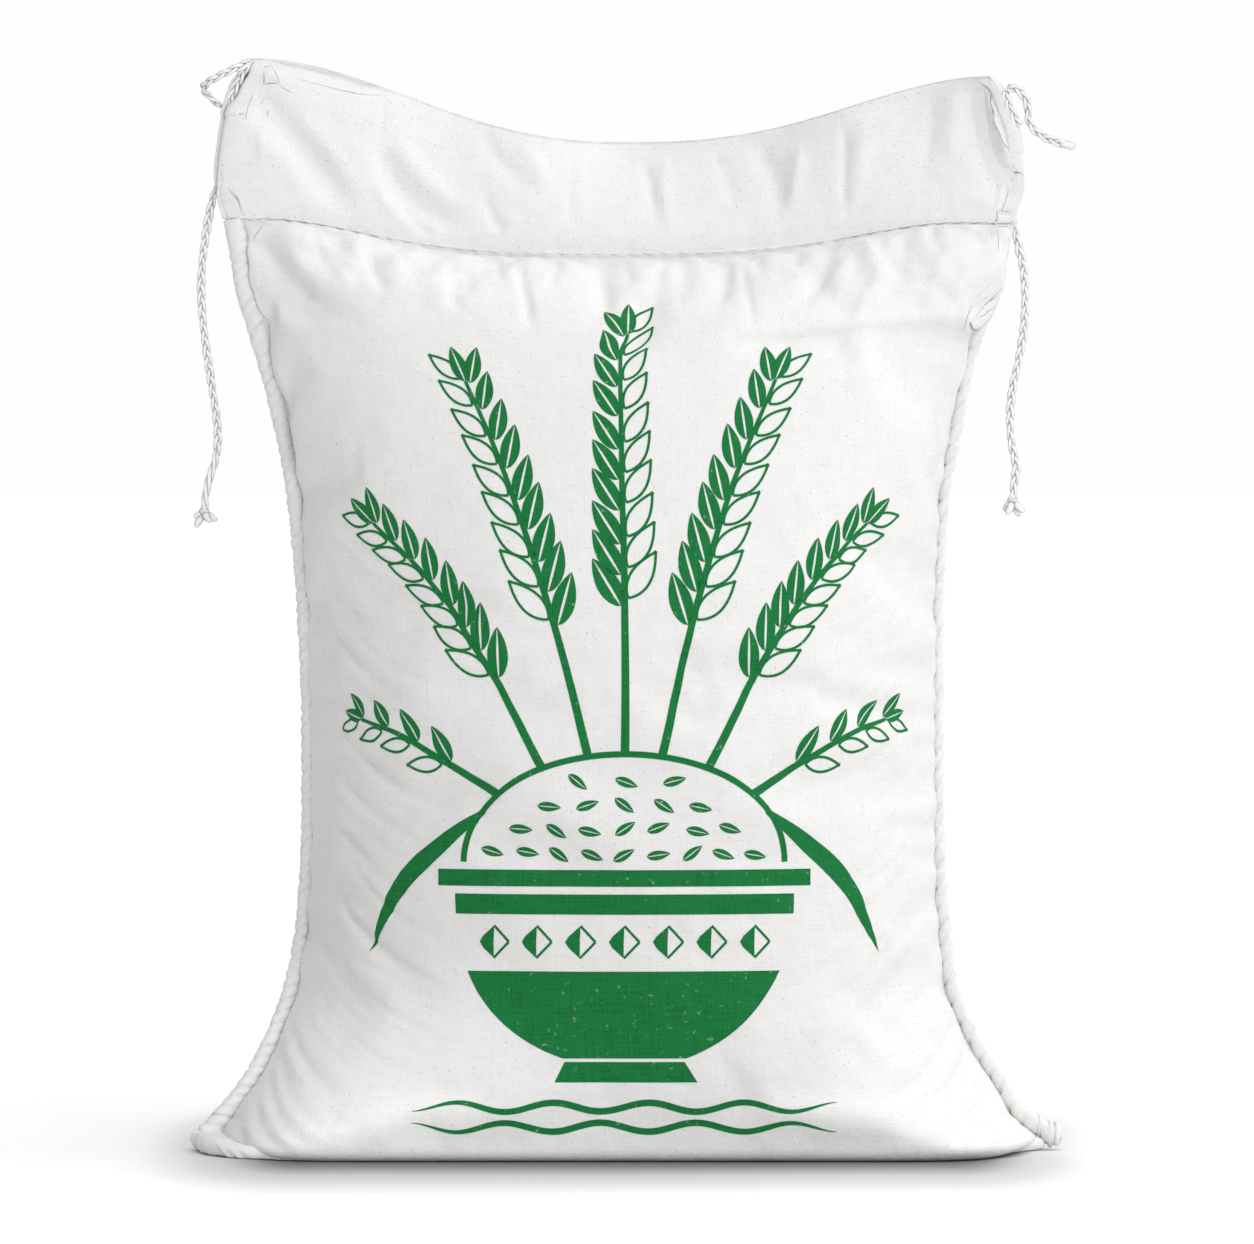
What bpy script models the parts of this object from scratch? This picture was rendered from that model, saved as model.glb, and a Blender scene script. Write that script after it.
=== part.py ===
"""A 10 kg cotton rice bag that stands on its base: a filled sack with a flat drawstring casing
across its closed mouth, a rolled seam down each side, and the ends of its two drawstrings.

Metres, +Z up. The front faces -Y. The origin is at the middle of the base, on the floor.
"""

import math

import bmesh
import bpy
from mathutils import Vector

# The sack stands between the floor and the middle of its mouth.
STITCH_HEIGHT = 0.394
MOUTH_HEIGHT = 0.443
# The stitch line and the mouth rise towards the corners of the bag.
STITCH_RISE = {-1: 0.014, 1: 0.011}
MOUTH_RISE = {-1: 0.0365, 1: 0.0285}
RISE_BEGINS = 0.30
# How late each row begins to climb on its way to the seam, at the stitch line and at the mouth.
RISE_DELAY = {-1: (1.60, 1.15), 1: (1.40, 1.35)}

# Each side's outline seen from the front, as (height, distance from the middle), above its corner.
LEFT_EDGE = (
    (0.012, 0.1850), (0.022, 0.1775), (0.035, 0.1675), (0.055, 0.1575), (0.075, 0.1503),
    (0.100, 0.1459), (0.140, 0.1434), (0.180, 0.1432), (0.233, 0.1450), (0.282, 0.1490),
    (0.317, 0.1550), (0.352, 0.1640), (0.380, 0.1725), (0.405, 0.1762), (0.416, 0.1797),
    (0.430, 0.1816), (0.444, 0.1802), (0.458, 0.1770), (0.4686, 0.1714), (0.4796, 0.1608),
)
RIGHT_EDGE = (
    (0.012, 0.1812), (0.022, 0.1735), (0.035, 0.1652), (0.055, 0.1532), (0.075, 0.1454),
    (0.100, 0.1423), (0.140, 0.1396), (0.180, 0.1393), (0.233, 0.1393), (0.282, 0.1415),
    (0.317, 0.1472), (0.352, 0.1545), (0.378, 0.1645), (0.400, 0.1688), (0.412, 0.1715),
    (0.424, 0.1750), (0.446, 0.1726), (0.458, 0.1685), (0.466, 0.1657), (0.4716, 0.1595),
)

# Half the sack's thickness in the middle, and the two powers that shape its section, by height.
HALF_DEPTH = (
    (0.000, 0.0640), (0.003, 0.0720), (0.012, 0.0800), (0.030, 0.0855), (0.060, 0.0878),
    (0.110, 0.0875), (0.170, 0.0858), (0.230, 0.0825), (0.280, 0.0765), (0.320, 0.0665),
    (0.350, 0.0520), (0.372, 0.0350), (0.386, 0.0180), (0.394, 0.0058), (0.403, 0.0072),
    (0.425, 0.0068), (0.443, 0.0036),
)
FLATNESS = (
    (0.000, 6.5), (0.012, 5.4), (0.030, 4.0), (0.100, 2.6), (0.200, 2.3), (0.300, 2.3),
    (0.360, 2.6), (0.394, 4.0), (0.443, 5.0),
)
BLUNTNESS = (
    (0.000, 0.95), (0.012, 0.92), (0.030, 0.84), (0.100, 0.64), (0.200, 0.56), (0.300, 0.60),
    (0.360, 0.70), (0.394, 0.50), (0.443, 0.50),
)

# The mouth is closed flat, leans back in the middle, and waves a little.
LEAN_AT_STITCH = 0.004
LEAN_AT_MOUTH = 0.027
WAVES = ((0.0034, 0.128, 0.6), (0.0018, 0.071, 2.1))

# Heights of the rows of faces up the sack, and columns across each of its two panels.
ROWS = (
    0.0, 0.0012, 0.003, 0.006, 0.010, 0.015, 0.022, 0.031, 0.042, 0.055, 0.070, 0.086, 0.104,
    0.124, 0.145, 0.167, 0.190, 0.213, 0.236, 0.258, 0.279, 0.298, 0.315, 0.330, 0.343, 0.354,
    0.364, 0.373, 0.380, 0.386, 0.3905, 0.394, 0.3975, 0.403, 0.410, 0.418, 0.427, 0.4355,
    0.443,
)
COLUMNS = 28

# The rolled seam stands outside the sack, and turns out into a thicker, blunt ear at the bottom corner.
WELT_RADIUS = 0.0034
WELT_GAP = 0.0008
WELT_FOOT = 0.0175
WELT_TOP = 0.4005
WELT_GUIDES = 26
WELT_STEP = 0.0090
EAR_RADIUS = 0.0045
EAR_REACH = 0.1925
EAR_HEIGHT = {-1: 0.0050, 1: 0.0060}
EAR_LENGTH = 0.0070
EAR_CLIMB = 0.0038
EAR_TIP_RINGS = 4
EAR_ENDS, EAR_BEGINS = 0.010, 0.024
SLOPE_STEP = 0.002
# Below this height the sack's own corner tucks in towards the floor.
CORNER_HEIGHT = 0.012
CORNER_TUCK = 0.0025

# Where the seam ends, the casing spreads out to the whole outline.
SEAM_ENDS = 0.4025
CASING_BEGINS = 0.4090

CORD_RADIUS = 0.0017
CORD_STEP = 0.0075
LOOP_STEP = 0.0034

# The drawstring ends, from where each leaves the casing.
LEFT_TAIL = (
    (-0.1790, 0.0050, 0.4262), (-0.1822, 0.0050, 0.4185), (-0.1846, 0.0042, 0.4070),
    (-0.1868, 0.0030, 0.3910), (-0.1874, 0.0022, 0.3780), (-0.1866, 0.0018, 0.3650),
    (-0.1850, 0.0016, 0.3520), (-0.1824, 0.0015, 0.3345), (-0.1801, 0.0014, 0.3170),
    (-0.1808, 0.0012, 0.3050), (-0.1836, 0.0010, 0.2960), (-0.1854, 0.0008, 0.2880),
    (-0.1860, 0.0006, 0.2818),
)
RIGHT_TAIL = (
    (0.1686, 0.0048, 0.4140), (0.1704, 0.0052, 0.4060), (0.1726, 0.0048, 0.3965),
    (0.1745, 0.0038, 0.3870), (0.1752, 0.0030, 0.3740), (0.1746, 0.0024, 0.3610),
    (0.1724, 0.0020, 0.3480), (0.1697, 0.0016, 0.3355), (0.1685, 0.0012, 0.3240),
    (0.1690, 0.0010, 0.3120), (0.1712, 0.0008, 0.3010), (0.1704, 0.0006, 0.2930),
    (0.1696, 0.0004, 0.2868),
)
LEFT_LOOP = (
    (-0.1662, -0.0016, 0.4780), (-0.1702, -0.0026, 0.4764), (-0.1752, -0.0034, 0.4742),
    (-0.1803, -0.0030, 0.4716), (-0.1846, -0.0010, 0.4692), (-0.1862, 0.0022, 0.4670),
    (-0.1848, 0.0052, 0.4644), (-0.1818, 0.0056, 0.4616), (-0.1788, 0.0036, 0.4592),
)
RIGHT_LOOP = (
    (0.1678, -0.0012, 0.4672), (0.1712, -0.0018, 0.4666), (0.1744, -0.0016, 0.4636),
    (0.1762, -0.0006, 0.4590), (0.1764, 0.0006, 0.4540), (0.1784, 0.0012, 0.4496),
    (0.1822, 0.0012, 0.4464), (0.1866, 0.0004, 0.4442), (0.1912, -0.0004, 0.4428),
    (0.1962, -0.0010, 0.4414),
)

KNOT_SIZE = (0.0082, 0.0070, 0.0074)
KNOT_GAP = 0.0003
STRAND_RADIUS = 0.0014
# Frayed strands below each knot: sideways lean, forward lean and length.
LEFT_STRANDS = ((-0.75, 0.15, 0.0062), (0.10, -0.55, 0.0050), (0.80, 0.20, 0.0046))
RIGHT_STRANDS = (
    (-0.95, 0.00, 0.0052), (-0.30, -0.50, 0.0056), (0.35, 0.45, 0.0058), (0.95, -0.10, 0.0054),
)

COTTON = ((0.90, 0.895, 0.88, 1.0), 0.92)
WELT_COTTON = ((0.87, 0.865, 0.85, 1.0), 0.94)
CORD_COTTON = ((0.86, 0.86, 0.85, 1.0), 0.90)


def clear_scene():
    for thing in list(bpy.data.objects):
        bpy.data.objects.remove(thing, do_unlink=True)


def through(points, at):
    """The value at a place on the smooth curve, with no overshoot, through (place, value) points."""
    places = [p[0] for p in points]
    values = [p[1] for p in points]
    at = min(max(at, places[0]), places[-1])
    slopes = [
        (values[i + 1] - values[i]) / (places[i + 1] - places[i]) for i in range(len(points) - 1)
    ]

    def tangent(i):
        if i == 0:
            return slopes[0]
        if i == len(slopes):
            return slopes[-1]
        before, after = slopes[i - 1], slopes[i]
        return 0.0 if before * after <= 0 else 2 * before * after / (before + after)

    i = max(k for k in range(len(slopes)) if places[k] <= at)
    span = places[i + 1] - places[i]
    t = (at - places[i]) / span
    return (
        (2 * t**3 - 3 * t**2 + 1) * values[i]
        + (t**3 - 2 * t**2 + t) * span * tangent(i)
        + (3 * t**2 - 2 * t**3) * values[i + 1]
        + (t**3 - t**2) * span * tangent(i + 1)
    )


def smooth_step(value, low, high):
    t = min(max((value - low) / (high - low), 0.0), 1.0)
    return t * t * (3 - 2 * t)


def edge_of(side):
    return LEFT_EDGE if side < 0 else RIGHT_EDGE


def rise(side, height):
    """How much higher a row is at its seam than in the middle of the bag."""
    points = (
        (RISE_BEGINS, 0.0), (STITCH_HEIGHT, STITCH_RISE[side]), (MOUTH_HEIGHT, MOUTH_RISE[side]),
    )
    return through(points, height) if height > RISE_BEGINS else 0.0


def welt_radius(level):
    return EAR_RADIUS + (WELT_RADIUS - EAR_RADIUS) * smooth_step(level, EAR_ENDS, EAR_BEGINS)


def inside_edge(side, level, distance):
    """How far out a line is that runs a distance inside the outline, measured square to the outline."""
    edge = edge_of(side)
    slope = (through(edge, level + SLOPE_STEP) - through(edge, level - SLOPE_STEP)) / (2 * SLOPE_STEP)
    return through(edge, level) - distance * math.hypot(1, slope)


def sack_edge(side, level):
    """Distance of the sack's own edge from the middle: inside the rolled seam, and all of the casing."""
    seam = (2 * welt_radius(level) + WELT_GAP) * (1 - smooth_step(level, SEAM_ENDS, CASING_BEGINS))
    tuck = CORNER_TUCK * max(0.0, 1 - level / CORNER_HEIGHT) ** 2
    return inside_edge(side, max(level, CORNER_HEIGHT), seam) - tuck


def middle_surface(x, across, height):
    """How far back the middle of the cloth layers is: the mouth leans, and waves."""
    lean = through(((0.37, 0.0), (STITCH_HEIGHT, LEAN_AT_STITCH), (MOUTH_HEIGHT, LEAN_AT_MOUTH)), height)
    share = smooth_step(height, STITCH_HEIGHT, MOUTH_HEIGHT) * (1 - across**6)
    wave = sum(size * math.sin(2 * math.pi * x / length + phase) for size, length, phase in WAVES)
    return lean * (1 - across**2) + share * wave


def row_level(across, height):
    """How high a row is at a place across it: level in the middle, and climbing towards each seam."""
    side = -1 if across < 0 else 1
    at_stitch, at_mouth = RISE_DELAY[side]
    delay = through(((STITCH_HEIGHT, at_stitch), (MOUTH_HEIGHT, at_mouth)), height)
    return height + rise(side, height) * math.sin(math.pi / 2 * abs(across) ** delay) ** 2


def sack_point(across, height, face):
    """A point of the sack: across is -1 at the left seam and 1 at the right one, face is -1 in front."""
    left = sack_edge(-1, height + rise(-1, height))
    right = sack_edge(1, height + rise(1, height))
    x = (right - left) / 2 + across * (right + left) / 2
    flatness = through(FLATNESS, height)
    bluntness = through(BLUNTNESS, height)
    thickness = through(HALF_DEPTH, height) * max(0.0, 1 - abs(across) ** flatness) ** bluntness
    back = middle_surface(x, across, height)
    return Vector((x, face * thickness + back, row_level(across, height)))


def link(name, data, collection, look):
    colour, roughness = look
    material = bpy.data.materials.new(name + "_finish")
    material.use_nodes = True
    shader = material.node_tree.nodes["Principled BSDF"]
    shader.inputs["Base Color"].default_value = colour
    shader.inputs["Roughness"].default_value = roughness
    shader.inputs["Metallic"].default_value = 0.0
    data.materials.append(material)
    thing = bpy.data.objects.new(name, data)
    collection.objects.link(thing)
    return thing


def make_sack(collection):
    """A loft of unlike sections: a flat base with pointed corners, a round filled body, a flat mouth."""
    mesh = bmesh.new()
    columns = [-math.cos(math.pi * k / COLUMNS) for k in range(COLUMNS + 1)]
    front, back = [], []
    for height in ROWS:
        row = [mesh.verts.new(sack_point(across, height, -1)) for across in columns]
        inner = [mesh.verts.new(sack_point(across, height, 1)) for across in columns[1:-1]]
        front.append(row)
        back.append([row[0], *inner, row[-1]])
    for panel, turned in ((front, False), (back, True)):
        for lower, upper in zip(panel, panel[1:]):
            for k in range(COLUMNS):
                corners = [lower[k], lower[k + 1], upper[k + 1], upper[k]]
                mesh.faces.new(corners[::-1] if turned else corners)
    for level, facing_up in ((0, False), (-1, True)):
        for k in range(COLUMNS):
            corners = [front[level][k], front[level][k + 1], back[level][k + 1], back[level][k]]
            corners = list(dict.fromkeys(corners))
            mesh.faces.new(corners if facing_up else corners[::-1])
    bmesh.ops.recalc_face_normals(mesh, faces=mesh.faces)
    data = bpy.data.meshes.new("sack")
    mesh.to_mesh(data)
    mesh.free()
    data.shade_smooth()
    return link("sack", data, collection, COTTON)


def route(points, step):
    """Points step apart on the smooth curve through a cord's own points."""
    ends = [2 * Vector(points[0]) - Vector(points[1]), 2 * Vector(points[-1]) - Vector(points[-2])]
    knots = [ends[0], *map(Vector, points), ends[1]]
    fine = []
    for a, b, c, d in zip(knots, knots[1:], knots[2:], knots[3:]):
        for k in range(16):
            t = k / 16
            fine.append(
                0.5 * (2 * b + (c - a) * t + (2 * a - 5 * b + 4 * c - d) * t**2
                       + (3 * b - a - 3 * c + d) * t**3)
            )
    fine.append(Vector(points[-1]))
    length = sum((q - p).length for p, q in zip(fine, fine[1:]))
    count = max(3, round(length / step))
    spaced, walked, target = [fine[0]], 0.0, length / count
    for p, q in zip(fine, fine[1:]):
        piece = (q - p).length
        while walked + piece >= target * len(spaced) and len(spaced) < count:
            share = (target * len(spaced) - walked) / piece
            spaced.append(p.lerp(q, share))
        walked += piece
    return [*spaced, fine[-1]]


def make_tube(name, points, radius, collection, look, thickness=None):
    """A tube along points, as a curve with filled caps. thickness scales its radius at each point."""
    curve = bpy.data.curves.new(name, "CURVE")
    curve.dimensions = "3D"
    curve.bevel_depth = radius
    curve.bevel_resolution = 2
    curve.use_fill_caps = True
    spline = curve.splines.new("POLY")
    spline.points.add(len(points) - 1)
    for k, place in enumerate(points):
        spline.points[k].co = (*place, 1.0)
        spline.points[k].radius = thickness[k] if thickness else 1.0
    spline.use_smooth = True
    return link(name, curve, collection, look)


def make_welt(side, collection):
    """The rolled side seam, from the round tip of its ear at the bottom corner up to the casing."""
    tip = EAR_REACH - EAR_RADIUS
    low = EAR_HEIGHT[side]
    guides = [(side * tip, 0.0, low), (side * (tip - EAR_LENGTH), 0.0, low + EAR_CLIMB)]
    for k in range(WELT_GUIDES):
        level = WELT_FOOT + (WELT_TOP - WELT_FOOT) * k / (WELT_GUIDES - 1)
        guides.append((side * inside_edge(side, level, welt_radius(level)), 0.0, level))
    points = route(guides, WELT_STEP)
    thickness = [welt_radius(point.z) / WELT_RADIUS for point in points]
    outward = (points[0] - points[1]).normalized()
    for k in range(1, EAR_TIP_RINGS + 1):
        turn = math.pi / 2 * k / (EAR_TIP_RINGS + 0.5)
        points.insert(0, Vector(guides[0]) + outward * EAR_RADIUS * math.sin(turn))
        thickness.insert(0, EAR_RADIUS / WELT_RADIUS * math.cos(turn))
    name = "side_welt_left" if side < 0 else "side_welt_right"
    return make_tube(name, points, WELT_RADIUS, collection, WELT_COTTON, thickness)


def strand_mesh(top, lean, length):
    """One short frayed strand below a knot: a tapered tube with a rounded end."""
    mesh = bmesh.new()
    bmesh.ops.create_uvsphere(mesh, u_segments=8, v_segments=6, radius=STRAND_RADIUS)
    direction = Vector((lean[0], lean[1], -1.0)).normalized()
    turn = Vector((0, 0, -1)).rotation_difference(direction).to_matrix()
    for v in mesh.verts:
        stretched = Vector((v.co.x, v.co.y, v.co.z * length / (2 * STRAND_RADIUS)))
        v.co = top + turn @ (stretched + Vector((0, 0, -length / 2)))
    data = bpy.data.meshes.new("strand")
    mesh.to_mesh(data)
    mesh.free()
    return data


def make_knot(name, end, strands, collection):
    """The stopper knot at the end of a drawstring, with its frayed strands, joined into one solid."""
    centre = Vector(end) - Vector((0, 0, KNOT_SIZE[2] / 2 + KNOT_GAP))
    mesh = bmesh.new()
    bmesh.ops.create_uvsphere(mesh, u_segments=14, v_segments=10, radius=0.5)
    for v in mesh.verts:
        v.co = centre + Vector([a * b for a, b in zip(v.co, KNOT_SIZE)])
    data = bpy.data.meshes.new(name)
    mesh.to_mesh(data)
    mesh.free()
    knot = link(name, data, collection, CORD_COTTON)
    extra = bpy.data.collections.new(name + "_strands")
    bpy.context.scene.collection.children.link(extra)
    low = centre - Vector((0, 0, KNOT_SIZE[2] * 0.22))
    for side_lean, front_lean, length in strands:
        thing = bpy.data.objects.new("strand", strand_mesh(low, (side_lean, front_lean), length))
        thing.hide_render = True
        extra.objects.link(thing)
    union = knot.modifiers.new("join", "BOOLEAN")
    union.operation = "UNION"
    union.operand_type = "COLLECTION"
    union.collection = extra
    bpy.context.view_layer.update()
    joined = bpy.data.meshes.new_from_object(knot.evaluated_get(bpy.context.evaluated_depsgraph_get()))
    knot.modifiers.clear()
    knot.data = joined
    joined.shade_smooth()
    for thing in list(extra.objects):
        bpy.data.objects.remove(thing, do_unlink=True)
    bpy.data.collections.remove(extra)
    return knot


def main():
    clear_scene()
    collection = bpy.data.collections.new("rice_bag")
    bpy.context.scene.collection.children.link(collection)
    make_sack(collection)
    for side in (-1, 1):
        make_welt(side, collection)
    for name, points, step in (
        ("tail_left", LEFT_TAIL, CORD_STEP),
        ("tail_right", RIGHT_TAIL, CORD_STEP),
        ("loop_left", LEFT_LOOP, LOOP_STEP),
        ("loop_right", RIGHT_LOOP, LOOP_STEP),
    ):
        make_tube(name, route(points, step), CORD_RADIUS, collection, CORD_COTTON)
    make_knot("tail_knot_left", LEFT_TAIL[-1], LEFT_STRANDS, collection)
    make_knot("tail_knot_right", RIGHT_TAIL[-1], RIGHT_STRANDS, collection)


main()
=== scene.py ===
"""The finish of a 10 kg cotton rice bag: its cloth, seams, drawstrings and print. Metres, front to -Y."""

import math

import bpy
import numpy as np
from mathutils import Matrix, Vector


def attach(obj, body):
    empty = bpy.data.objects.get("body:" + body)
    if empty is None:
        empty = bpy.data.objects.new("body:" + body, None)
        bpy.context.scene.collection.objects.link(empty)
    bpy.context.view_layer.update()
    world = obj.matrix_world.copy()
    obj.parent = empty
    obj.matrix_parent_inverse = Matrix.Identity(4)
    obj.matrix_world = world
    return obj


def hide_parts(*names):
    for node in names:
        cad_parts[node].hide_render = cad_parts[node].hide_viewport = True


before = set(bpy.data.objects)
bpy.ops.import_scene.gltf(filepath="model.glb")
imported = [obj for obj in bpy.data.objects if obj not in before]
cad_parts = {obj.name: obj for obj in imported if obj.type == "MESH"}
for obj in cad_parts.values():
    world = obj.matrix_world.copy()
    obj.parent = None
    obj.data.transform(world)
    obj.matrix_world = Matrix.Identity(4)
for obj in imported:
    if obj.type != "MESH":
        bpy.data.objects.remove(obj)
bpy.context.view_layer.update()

MM = 0.001
FRONT, BACK = -1, 1
LEFT, RIGHT = -1, 1
SIDE_NAMES = {LEFT: "left", RIGHT: "right"}
FACE_NAMES = {FRONT: "front", BACK: "back"}

# The photograph's frame, and the real size of one of its pixels at the bag's seams.
PHOTO_WIDTH, PHOTO_HEIGHT = 1254, 1244
PIXEL = 0.44 * MM
FLOOR_PIXEL = 1150
CAMERA_DISTANCE = 5.0
CAMERA_ELEVATION = math.radians(1.2)
SENSOR = 36.0

# The bag's driving sizes, as in the solids.
STITCH_HEIGHT = 0.394
MOUTH_HEIGHT = 0.443
STITCH_RISE = {LEFT: 0.0152, RIGHT: 0.0136}
MOUTH_RISE = {LEFT: 0.0365, RIGHT: 0.0285}
RISE_BEGINS = 0.30
RISE_DELAY = {LEFT: (1.75, 1.15), RIGHT: (1.65, 1.35)}
RISE_ENDS = {LEFT: (0.90, 1.0), RIGHT: (0.86, 1.0)}
OUTLINE = {
    LEFT: (
        (0.012, 0.1850), (0.022, 0.1775), (0.035, 0.1675), (0.055, 0.1575), (0.075, 0.1503),
        (0.100, 0.1459), (0.140, 0.1434), (0.180, 0.1432), (0.233, 0.1450), (0.282, 0.1490),
        (0.317, 0.1550), (0.352, 0.1640), (0.380, 0.1725), (0.405, 0.1762), (0.416, 0.1797),
        (0.430, 0.1816), (0.444, 0.1802), (0.458, 0.1775), (0.4686, 0.1738), (0.4796, 0.1650),
    ),
    RIGHT: (
        (0.012, 0.1812), (0.022, 0.1735), (0.035, 0.1652), (0.055, 0.1532), (0.075, 0.1454),
        (0.100, 0.1423), (0.140, 0.1396), (0.180, 0.1393), (0.233, 0.1393), (0.282, 0.1415),
        (0.317, 0.1472), (0.352, 0.1545), (0.378, 0.1645), (0.400, 0.1688), (0.412, 0.1715),
        (0.424, 0.1750), (0.446, 0.1726), (0.458, 0.1685), (0.466, 0.1657), (0.4716, 0.1595),
    ),
}
HALF_DEPTH = (
    (0.000, 0.0765), (0.0012, 0.0806), (0.004, 0.0830), (0.012, 0.0848), (0.030, 0.0868), (0.060, 0.0878),
    (0.110, 0.0875), (0.170, 0.0858), (0.230, 0.0825), (0.280, 0.0765), (0.320, 0.0665),
    (0.350, 0.0520), (0.372, 0.0350), (0.386, 0.0180), (0.394, 0.0058), (0.403, 0.0072),
    (0.425, 0.0068), (0.443, 0.0036),
)
FLATNESS = (
    (0.000, 14.0), (0.012, 9.5), (0.030, 4.8), (0.100, 2.6), (0.200, 2.3), (0.300, 2.3),
    (0.360, 2.6), (0.394, 4.0), (0.443, 5.0),
)
BLUNTNESS = (
    (0.000, 0.95), (0.012, 0.92), (0.030, 0.84), (0.100, 0.64), (0.200, 0.56), (0.300, 0.60),
    (0.360, 0.70), (0.394, 0.50), (0.443, 0.50),
)
LEAN = ((0.37, 0.0), (STITCH_HEIGHT, 0.004), (MOUTH_HEIGHT, 0.027))
WAVES = ((0.0034, 0.128, 0.6), (0.0018, 0.071, 2.1))
BASE_DEPTH = HALF_DEPTH[0][1]

WELT_RADIUS = 0.0034
WELT_FOOT, WELT_TOP = 0.0175, {LEFT: 0.4095, RIGHT: 0.3640}
WELT_GUIDES = 26
EAR_RADIUS = 0.0045
EAR_REACH = 0.1925
EAR_LENGTH = 0.0070
EAR_ENDS, EAR_BEGINS = 0.010, 0.024
SLOPE_STEP = 0.002
CORNER_HEIGHT = 0.012
CORNER_SHAPE = {
    LEFT: ((0.0, -0.0035), (0.002, 0.0005), (0.005, 0.0030), (0.009, 0.0015), (0.012, 0.0)),
    RIGHT: ((0.0, -0.0010), (0.002, 0.0040), (0.005, 0.0080), (0.008, 0.0055), (0.012, 0.0)),
}
SEAM_TO_CASING = {LEFT: (0.4045, 0.4105), RIGHT: (0.357, 0.367)}
CASING_OPENS = (0.4570, 0.4640, 0.4715, 0.4800)
CASING_OPENING = 5.3 * MM
BACK_SHOWS = 1.7 * MM
BACK_SHOWS_FROM = (0.420, 0.427)
WELT_SHOWS = 1.75
FLAT_SEAM = {LEFT: (0.30, 0.37), RIGHT: (0.30, 0.355)}
FLAT_SEAM_HALF_WIDTH = {LEFT: 4.3 * MM, RIGHT: 2.7 * MM}

CORD_ROUTES = {
    "tail_left": (
        (-0.1790, 0.0050, 0.4262), (-0.1822, 0.0050, 0.4185), (-0.1846, 0.0042, 0.4070),
        (-0.1868, 0.0030, 0.3910), (-0.1874, 0.0022, 0.3780), (-0.1866, 0.0018, 0.3650),
        (-0.1850, 0.0016, 0.3520), (-0.1824, 0.0015, 0.3345), (-0.1801, 0.0014, 0.3170),
        (-0.1808, 0.0012, 0.3050), (-0.1836, 0.0010, 0.2960), (-0.1854, 0.0008, 0.2880),
        (-0.1860, 0.0006, 0.2818),
    ),
    "tail_right": (
        (0.1686, 0.0048, 0.4140), (0.1704, 0.0052, 0.4060), (0.1726, 0.0048, 0.3965),
        (0.1745, 0.0038, 0.3870), (0.1752, 0.0030, 0.3740), (0.1746, 0.0024, 0.3610),
        (0.1724, 0.0020, 0.3480), (0.1697, 0.0016, 0.3355), (0.1685, 0.0012, 0.3240),
        (0.1690, 0.0010, 0.3120), (0.1712, 0.0008, 0.3010), (0.1704, 0.0006, 0.2930),
        (0.1696, 0.0004, 0.2868),
    ),
    "loop_left": (
        (-0.1662, -0.0016, 0.4780), (-0.1702, -0.0026, 0.4764), (-0.1752, -0.0034, 0.4742),
        (-0.1803, -0.0030, 0.4716), (-0.1846, -0.0010, 0.4692), (-0.1862, 0.0022, 0.4670),
        (-0.1848, 0.0052, 0.4644), (-0.1818, 0.0056, 0.4616), (-0.1788, 0.0036, 0.4592),
    ),
    "loop_right": (
        (0.1678, -0.0012, 0.4672), (0.1712, -0.0018, 0.4666), (0.1744, -0.0016, 0.4636),
        (0.1762, -0.0006, 0.4590), (0.1764, 0.0006, 0.4540), (0.1784, 0.0012, 0.4496),
        (0.1822, 0.0012, 0.4464), (0.1866, 0.0004, 0.4442), (0.1912, -0.0004, 0.4428),
        (0.1962, -0.0010, 0.4414),
    ),
}


def make_camera():
    """A long lens, so that the bag's front isn't swollen, framed as the photograph is."""
    middle = Vector((0.0, 0.0, (FLOOR_PIXEL - PHOTO_HEIGHT / 2) * PIXEL))
    away = Vector((0.0, -math.cos(CAMERA_ELEVATION), math.sin(CAMERA_ELEVATION)))
    data = bpy.data.cameras.new("camera")
    data.sensor_fit = "HORIZONTAL"
    data.sensor_width = SENSOR
    data.lens = SENSOR * CAMERA_DISTANCE / (PHOTO_WIDTH * PIXEL)
    data.clip_end = 100.0
    camera = bpy.data.objects.new("camera", data)
    camera.location = middle + CAMERA_DISTANCE * away
    camera.rotation_euler = (-away).to_track_quat("-Z", "Y").to_euler()
    bpy.context.scene.collection.objects.link(camera)
    bpy.context.scene.camera = camera


def through(points, at):
    """Values on the smooth curve, with no overshoot, through (place, value) points."""
    places, values = (np.array(column) for column in zip(*points))
    spans = np.diff(places)
    slopes = np.diff(values) / spans
    before, after = slopes[:-1], slopes[1:]
    both = before * after
    inner = np.where(both > 0, 2 * both / np.where(both > 0, before + after, 1.0), 0.0)
    tangents = np.concatenate(([slopes[0]], inner, [slopes[-1]]))
    at = np.clip(at, places[0], places[-1])
    i = np.clip(np.searchsorted(places, at, side="right") - 1, 0, len(spans) - 1)
    t = (at - places[i]) / spans[i]
    return (
        (2 * t**3 - 3 * t**2 + 1) * values[i]
        + (t**3 - 2 * t**2 + t) * spans[i] * tangents[i]
        + (3 * t**2 - 2 * t**3) * values[i + 1]
        + (t**3 - t**2) * spans[i] * tangents[i + 1]
    )


def smooth_step(value, low, high):
    t = np.clip((value - low) / (high - low), 0.0, 1.0)
    return t * t * (3 - 2 * t)


def rise(side, height):
    """How much higher a row is at its seam than in the middle of the bag."""
    points = (
        (RISE_BEGINS, 0.0), (STITCH_HEIGHT, STITCH_RISE[side]), (MOUTH_HEIGHT, MOUTH_RISE[side]),
    )
    return through(points, height)


def welt_radius(level):
    return EAR_RADIUS + (WELT_RADIUS - EAR_RADIUS) * smooth_step(level, EAR_ENDS, EAR_BEGINS)


def inside_edge(side, level, distance):
    """How far out a line is that runs a distance inside the outline, measured square to the outline."""
    edge = OUTLINE[side]
    slope = (through(edge, level + SLOPE_STEP) - through(edge, level - SLOPE_STEP)) / (2 * SLOPE_STEP)
    return through(edge, level) - distance * np.hypot(1, slope)


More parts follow.
